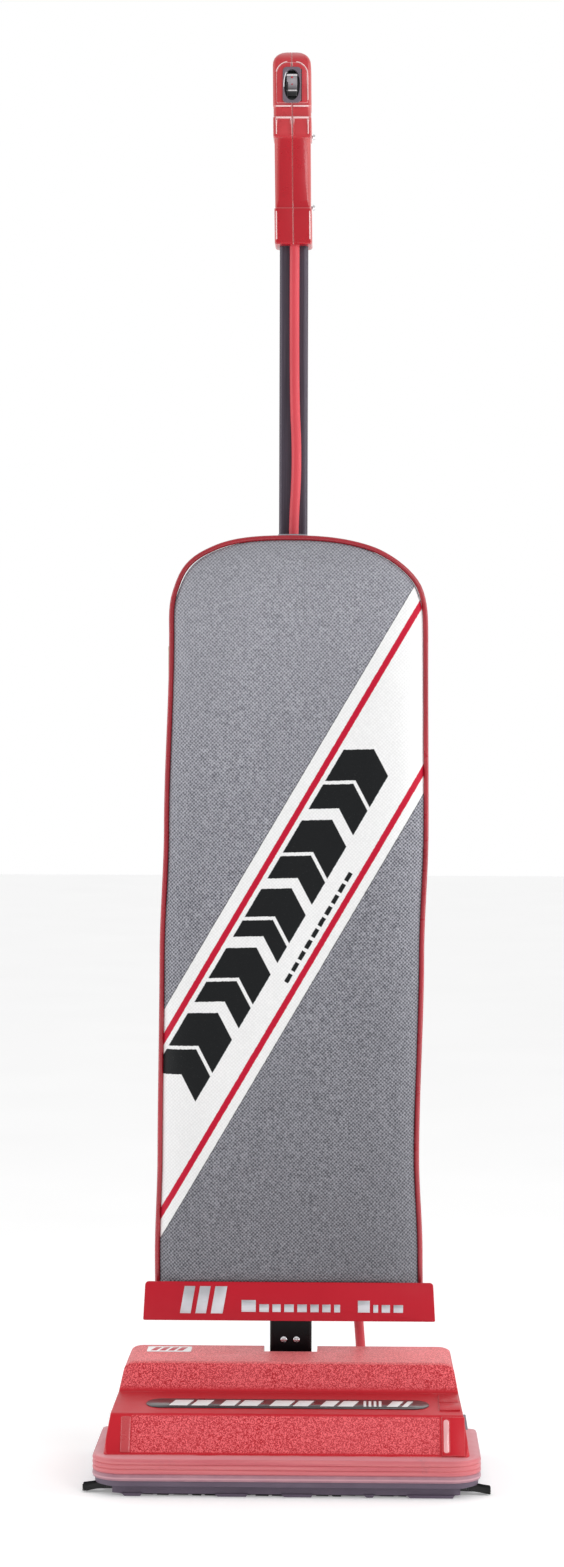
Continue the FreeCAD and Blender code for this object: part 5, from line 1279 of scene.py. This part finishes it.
def grip_stations():
    """Height, half width, step back from the front line, and the front chamfer's width and depth."""
    rows = [(1042.0, 15.2, 0.9, 2.0, 2.0), (1042.9, 16, 0, 1.5, 1.5), (1072.4, 16, 0, 1.5, 1.5),
            (1073.2, 15.3, 1.0, 1.4, 1.6), (1079, 15.3, 1.0, 3.0, 2.4), (1100, 15.4, 1.1, 5.2, 3.6),
            (1134.2, 15.5, 1.3, 7.2, 4.8), (1134.9, 16.5, 0.2, 1.3, 1.3), (1151.8, 16.5, 0.2, 1.3, 1.3),
            (1152.6, 16.1, 1.8, 2.4, 2.4), (1161.4, 16.1, 1.8, 2.4, 2.4), (1162.2, 16.5, 0.7, 2.2, 2.2),
            (1190, 16.5, 0.7, 2.2, 2.2)]
    for z in (1194, 1198, 1201, 1204, 1206.5, 1208.5, 1210, 1210.8, 1211):
        half = 3.9 + math.sqrt(max(0.0, 12.6 ** 2 - max(0.0, z - 1198.4) ** 2))
        back = 0.7 + 9.0 - math.sqrt(max(0.0, 81 - max(0.0, z - 1202) ** 2))
        rows.append((z, half, back, min(2.2, half * 0.3), 2.2))
    return rows


def grip_half(sign):
    """One moulded half of the grip, closed at the middle plane with a shallow seam."""
    seam, lip, round_back = 0.08, 0.45, 6
    rows = []
    for z, half, step, wide, deep in grip_stations():
        front = grip_front(z) + step
        over = max(0.0, z - 1203)
        back = grip_front(z) + GRIP_DEEP - 0.12 * over * over
        ring = [(seam, front + 0.3), (lip, front), (half - wide, front),
                (half - wide * 0.35, front + deep * 0.35), (half, front + deep), (half, (front + back) / 2),
                (half, back - round_back)]
        if half > 7:
            for angle in (22, 45, 68, 90):
                a = math.radians(angle)
                ring.append((half - round_back * (1 - math.cos(a)), back - round_back * (1 - math.sin(a))))
        else:
            ring += [(half, back - 4), (half * 0.9, back - 2), (half * 0.7, back - 0.8), (half * 0.4, back)]
        ring += [(lip, back), (seam, back - 0.3)]
        rows.append([Vector((sign * x + grip_drift(z), y, z)) * MM for x, y in ring])
    return grid(rows, True, True)


def window_cutter():
    """The opening that the switch drops into, as a closed box that leans with the grip's front."""
    outline = rounded_rectangle(6.9, 14.9, 2, 3)
    rows = [[in_switch(a, y, b) for a, b in outline] for y in (-12, 16)]
    return new_piece("window_cutter", *grid(rows, True, True), MAT["grip"])


def upright_plate(name, outline, height, material, rise, sink):
    """A thin raised pad on the grip's front: outline in (x, z) millimetres."""
    def place(a, b, h):
        z = b / MM
        return Vector((a + grip_drift(z) * MM, (grip_front(z) + sink) * MM - h, b))
    return plate(name, mm(outline), place, height, material, rise)


def make_grip():
    """Both halves of the grip: a moulded shell, a raised panel round the switch, ledges in pale pink as
    painted highlights, and pale lines along edges as painted highlights mixed with wear.
    """
    cutter = window_cutter()
    # Radius of the pale lines that are painted highlights mixed with wear.
    highlight_and_wear = 0.42

    def windowed(piece):
        add(piece, "BOOLEAN", operation="DIFFERENCE", object=cutter, solver="EXACT")
        return bake(piece, 28)
    for side, sign in (("left", -1), ("right", 1)):
        def flipped(outline):
            return [(sign * x, z) for x, z in outline]
        points, faces = grip_half(sign)
        half = new_piece("grip_half_" + side, points, faces, MAT["grip"], 25)
        add(half, "BEVEL", width=0.5 * MM, segments=2, limit_method="ANGLE", angle_limit=math.radians(22))
        parts = [windowed(half)]
        outline = [(0.35, 1164.2), (12.6, 1164.2), (13.4, 1165)]
        outline += [(2.8 + 10.6 * math.cos(a), 1189.6 + 10.6 * math.sin(a))
                    for a in (math.radians(10 * k) for k in range(10))]
        outline += [(0.35, 1200.2)]
        parts.append(windowed(upright_plate("panel_" + side, flipped(outline), 1.0 * MM, MAT["grip"],
                                            0.45 * MM, 0.9)))
        # Shelves in pale pink: painted highlights on the ledges.
        for low_z, high_z in ((1150.7, 1152.1), (1161.0, 1162.4)):
            shelf = [(1.0, low_z), (14.0, low_z), (14.0, high_z), (1.0, high_z)]
            parts.append(upright_plate("shelf_" + side, flipped(shelf), 1.2 * MM, MAT["highlight_pale"],
                                       0.4 * MM, 0.9))
        for low_x, high_x in ((0.6, 1.7), (13.0, 14.3)):
            rib = [(low_x, 1136), (high_x, 1136), (high_x, 1151), (low_x, 1151)]
            parts.append(upright_plate("rib_" + side, flipped(rib), 0.9 * MM, MAT["grip"], 0.35 * MM, 0.6))
        # Pale lines along the panel's arc, the collar and the rib block: painted highlights mixed with wear.
        arc = [(2.8 + 10.9 * math.cos(a), 1189.9 + 10.9 * math.sin(a))
               for a in (math.radians(d) for d in range(12, 86, 6))]
        if sign > 0:
            arc = [(13.7, z) for z in (1167, 1172, 1177, 1182, 1187)] + arc
        collar = [(14.2, z) for z in (1046, 1052, 1058, 1064, 1070)]
        upright = [(13.7, z) for z in (1137, 1141, 1145, 1149)]
        for name, line, proud in (("arc_", arc, -0.2), ("collar_", collar, -0.15),
                                  ("upright_", upright, 0.2)):
            parts.append(highlight_line(name + side, flipped(line), highlight_and_wear, proud))
        grip = join("grip_half_" + side, parts)
        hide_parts("grip_" + side)
        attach(grip, "handle")
    bpy.data.objects.remove(cutter)


def highlight_line(name, points, radius, proud):
    """A pale line along an edge of the grip's front, a painted highlight mixed with wear: points in (x, z)
    millimetres.
    """
    line = [Vector((x + grip_drift(z), grip_front(z) - proud, z)) * MM for x, z in points]
    return new_piece(name, *sweep(line, radius * MM, 8), MAT["highlight_pale"], 60)


def in_switch(x, y, z):
    """A point given in millimetres from the middle of the bezel, in the frame that leans with it."""
    x += grip_drift(BEZEL.z / MM)
    return Matrix.Translation(BEZEL) @ Matrix.Rotation(-LEAN, 4, "X") @ (Vector((x, y, z)) * MM)


def make_bezel():
    """The switch's oval collar, the dark floor of its well and a pale glint on its left rim."""
    half, tall, hole, hole_tall = 7.9, 15.9, 6.8, 13.7
    corners = rounded_rectangle(half, tall, 3.4, 8)
    outer = []
    for (a0, b0), (a1, b1) in zip(corners, corners[1:] + corners[:1]):
        pieces = max(1, round(math.hypot(a1 - a0, b1 - b0) / 0.8))
        outer += [(a0 + (a1 - a0) * k / pieces, b0 + (b1 - b0) * k / pieces) for k in range(pieces)]
    rows = []
    for inset, y in ((0.0, -0.12), (0.0, -1.2), (0.2, -1.5), (0.4, -1.58)):
        rows.append([in_switch(a * (1 - inset / half), y, b * (1 - inset / tall)) for a, b in outer])
    for grow, y in ((0.35, -1.56), (0.12, -1.4), (0.0, -0.9), (0.0, 3.4)):
        ring = []
        for a, b in outer:
            angle = math.atan2(b / tall, a / half)
            ca, sa = math.cos(angle), math.sin(angle)
            ring.append(in_switch((hole + grow) * math.copysign(abs(ca) ** 0.92, ca), y,
                                  (hole_tall + grow) * math.copysign(abs(sa) ** 0.92, sa)))
        rows.append(ring)
    bezel = new_piece("bezel_ring", *grid(rows, True), MAT["bezel"], 40)
    well = [rows[-1], [in_switch(0, 3.4, 0)] * len(outer)]
    floor = new_piece("well_floor", *grid(well, True), MAT["black"], 40)
    # Painted glint: a pale tube along the left rim of the well.
    glint = [in_switch(-6.95 * math.sqrt(1 - (b / 15.4) ** 2), -1.6, b)
             for b in (-2, 0, 2, 4, 6, 8, 9.5, 10.8)]
    rim = new_piece("bezel_glint", *sweep(glint, 0.42 * MM, 8), MAT["glint"], 60)
    bezel = join("bezel_ring", [bezel, floor, rim])
    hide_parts("switch_bezel")
    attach(bezel, "handle")


def make_rocker():
    """Saddle-shaped rocker with two plain dots."""
    half, reach, count = 4.6, 9.4, 20

    def saddle(t):
        """Depth and height of the rocker's face, from its foot at 0 to its top at 1."""
        return 1.2 - 3.6 * t + 4 * t * (1 - t) * 1.2, -reach + 2 * reach * t
    rows = []
    for i in range(count + 1):
        y, z = saddle(i / count)
        soft = 0.5 if 0 < i < count else 0.9
        side = [(half, 2.4), (half, soft), (half - 0.25, soft * 0.35), (half - 0.8, 0.04), (2, 0.0)]
        section = [(-x, dy) for x, dy in side] + [(0, 0.0)] + side[::-1]
        rows.append([in_switch(x, y + dy, z) for x, dy in section])
    rocker = new_piece("rocker_cap", *grid(rows, True, True), MAT["rocker"], 40)
    parts = [rocker]
    for t, radius in ((0.86, 1.0), (0.55, 0.7)):
        y, z = saddle(t)
        ring = [(radius * math.cos(a), radius * math.sin(a)) for a in turns(16)]
        parts.append(plate("dot", mm(ring),
                           lambda a, b, h, z=z, y=y: in_switch(a / MM, y + 0.02 - h / MM, z + b / MM),
                           0.14 * MM, MAT["label_red"], 0.05 * MM))
    rocker = join("rocker_cap", parts)
    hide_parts("switch_rocker")
    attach(rocker, "rocker")


make_grip()
make_bezel()
make_rocker()


# ---- Screws, wheels, brush tufts and zip ----
def screw_head(name, centre, axis, radius, height, material):
    """Domed head with a cross recess, its rim on centre and its top along the axis."""
    axis = Vector(axis).normalized()
    side = axis.orthogonal().normalized()
    other = axis.cross(side)
    rows = []
    rings, around = 12, 48
    for i in range(rings + 1):
        r = radius * (1 - i / rings)
        rise = height * math.sqrt(max(0.0, 1 - (r / radius) ** 2 * 0.96))
        ring = []
        for angle in turns(around):
            a, b = r * math.cos(angle), r * math.sin(angle)
            arm = min(abs(a), abs(b)) < radius * 0.13 and r < radius * 0.68
            level = rise - (height * 0.55 if arm else 0)
            ring.append(centre + side * a + other * b + axis * level)
        rows.append(ring)
    return new_piece(name, *grid(rows, True), material, 50)


def make_neck_screws():
    """Two domed screws in the front of the neck."""
    low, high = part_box("neck_screws")
    y, z = low.y + 1.68 * MM, (low.z + high.z) / 2
    heads = [screw_head("neck_screw_heads", Vector((x, y, z)), (0, -1, 0), 2.8 * MM, 1.2 * MM, MAT["steel"])
             for x in (-6 * MM, 5 * MM)]
    screws = join("neck_screw_heads", heads)
    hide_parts("neck_screws")
    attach(screws, body_of_node("neck_screws"))


def make_wheel(side):
    """Rear wheel: rubber tread with grooves round a plastic hub with a dished face."""
    low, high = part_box("rear_wheel_" + side)
    centre = (low + high) / 2
    radius, half = (high.z - low.z) / 2, (high.x - low.x) / 2

    def lathe(name, profile, material):
        """A ring turned round the wheel's axle: profile gives a share of half the width, and a radius."""
        rows = [[centre + Vector((share * half, r * math.cos(a), r * math.sin(a))) for a in turns(64)]
                for share, r in profile]
        return new_piece(name + side, *grid(rows, True), material, 35)

    def mirrored(profile):
        return [(-share, r) for share, r in reversed(profile)]
    face = [(1.0, 3.15 * MM), (1.0, 6 * MM), (0.96, 6.4 * MM), (0.62, 7 * MM), (0.58, 14.5 * MM),
            (0.9, 15.2 * MM), (0.97, 16 * MM)]
    core = lathe("wheel_hub_", [(-1.0, 3.15 * MM)] + face + mirrored(face), MAT["wheel"])
    tyre = [(share, radius - inset * MM) for share, inset in (
        (-0.9, 5.0), (-0.97, 4.0), (-1.0, 1.6), (-0.9, 0.4), (-0.8, 0.0), (-0.34, 0.0), (-0.3, 0.9),
        (-0.2, 0.9), (-0.16, 0.0))]
    tread = lathe("wheel_tread_", tyre + mirrored(tyre), MAT["rubber"])
    wheel = join("wheel_hub_" + side, [core, tread])
    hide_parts("rear_wheel_" + side)
    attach(wheel, body_of_node("rear_wheel_" + side))


def make_roll_tufts():
    """Tufts of single bristles in two spirals round the brush roll."""
    chance = random.Random(5)
    centre, wood_radius = Vector((0, -69, 29)), 15.6
    points, faces = [], []
    for strand in range(2):
        for i in range(22):
            x = -114 + i * 9.8
            turn = 2 * math.pi * i / 22 + math.pi * strand
            out = Vector((0, -math.sin(turn), math.cos(turn)))
            side = Vector((0, out.z, -out.y))
            for _ in range(26):
                a, r = chance.uniform(0, 2 * math.pi), 1.5 * math.sqrt(chance.random())
                foot = Vector((x + r * math.cos(a), 0, 0)) + side * r * math.sin(a)
                root = centre + foot + out * wood_radius
                spread = (Vector((math.cos(a), 0, 0)) + side * math.sin(a)) * r * 0.32
                tip = root + out * chance.uniform(5.2, 5.7) + spread
                add_bristle(points, faces, ((root, 0.16), (tip, 0.1)), Vector((1, 0, 0)), side)
    tufts = new_piece("roll_tufts", points, faces, MAT["roll_bristle"], 60)
    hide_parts("brush_bristles")
    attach(tufts, body_of_node("brush_bristles"))


ZIP_FACE = -103.2 * MM


def make_zip_band():
    """Zip in the bag's left side: cloth tape and moulded teeth."""
    low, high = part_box("zip_tape")
    middle, tall = (low.y + high.y) / 2, high.z - low.z
    rows = []
    for k in range(45):
        z = low.z + tall * k / 44
        curl = 0.7 * MM + 0.1 * MM * math.sin(k * 1.7)
        hem = 0.6 * MM
        rows.append([Vector((ZIP_FACE + dx, y, z)) for dx, y in (
            (curl, low.y), (0.25 * MM, low.y + hem), (0.1 * MM, middle), (0.25 * MM, high.y - hem),
            (curl, high.y))])
    tape = new_piece("zip_band", *grid(rows), MAT["tape"], 60)
    teeth, teeth_faces = [], []
    count, margin = 150, 6 * MM
    for k in range(count):
        z = low.z + margin + (tall - 2 * margin) * k / (count - 1)
        y = middle + (0.7 if k % 2 else -0.7) * MM
        base = len(teeth)
        for dx, shrink in ((0.2, 1.0), (-0.9, 0.75)):
            for dy, dz in ((-1.6, -0.9), (1.6, -0.9), (1.6, 0.9), (-1.6, 0.9)):
                teeth.append(Vector((ZIP_FACE + dx * MM, y + dy * shrink * MM, z + dz * shrink * MM)))
        for corner in range(4):
            n = (corner + 1) % 4
            teeth_faces.append((base + corner, base + n, base + 4 + n, base + 4 + corner))
        teeth_faces.append((base + 4, base + 5, base + 6, base + 7))
    chain = new_piece("zip_teeth", teeth, teeth_faces, MAT["brass"], 30)
    band = join("zip_band", [tape, chain])
    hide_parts("zip_tape")
    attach(band, "handle")


def make_zip_slider():
    """Brass slider with a ring and a long pull, at the top of the zip."""
    low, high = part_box("zip_tape")
    middle = (low.y + high.y) / 2
    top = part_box("zip_slider")[1].z

    def place(a, b, h):
        return Vector((ZIP_FACE - 0.2 * MM - h, middle + a, top + b))
    body = mm([(-3.4, 0), (3.4, 0), (3.9, -3), (2.6, -9.5), (-2.6, -9.5), (-3.9, -3)])
    pull = [(a, b - 20 * MM) for a, b in rounded_rectangle(2.6 * MM, 12 * MM, 2.4 * MM, 5)]
    parts = [plate("slide", body, place, 1.3 * MM, MAT["brass"], 0.4 * MM),
             plate("pull", pull, lambda a, b, h: place(a, b, h + 0.9 * MM), 0.8 * MM, MAT["brass"],
                   0.25 * MM)]
    loop = [place(2.1 * MM * math.cos(t), (-7 + 2.6 * math.sin(t)) * MM, 1.4 * MM) for t in turns(20)]
    parts.append(new_piece("pull_ring", *sweep(loop, 0.4 * MM, 8, closed=True), MAT["brass"], 60))
    slide = join("zip_slide_pull", parts)
    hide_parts("zip_slider")
    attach(slide, body_of_node("zip_slider"))


make_neck_screws()
for side in ("left", "right"):
    make_wheel(side)
make_roll_tufts()
make_zip_band()
make_zip_slider()
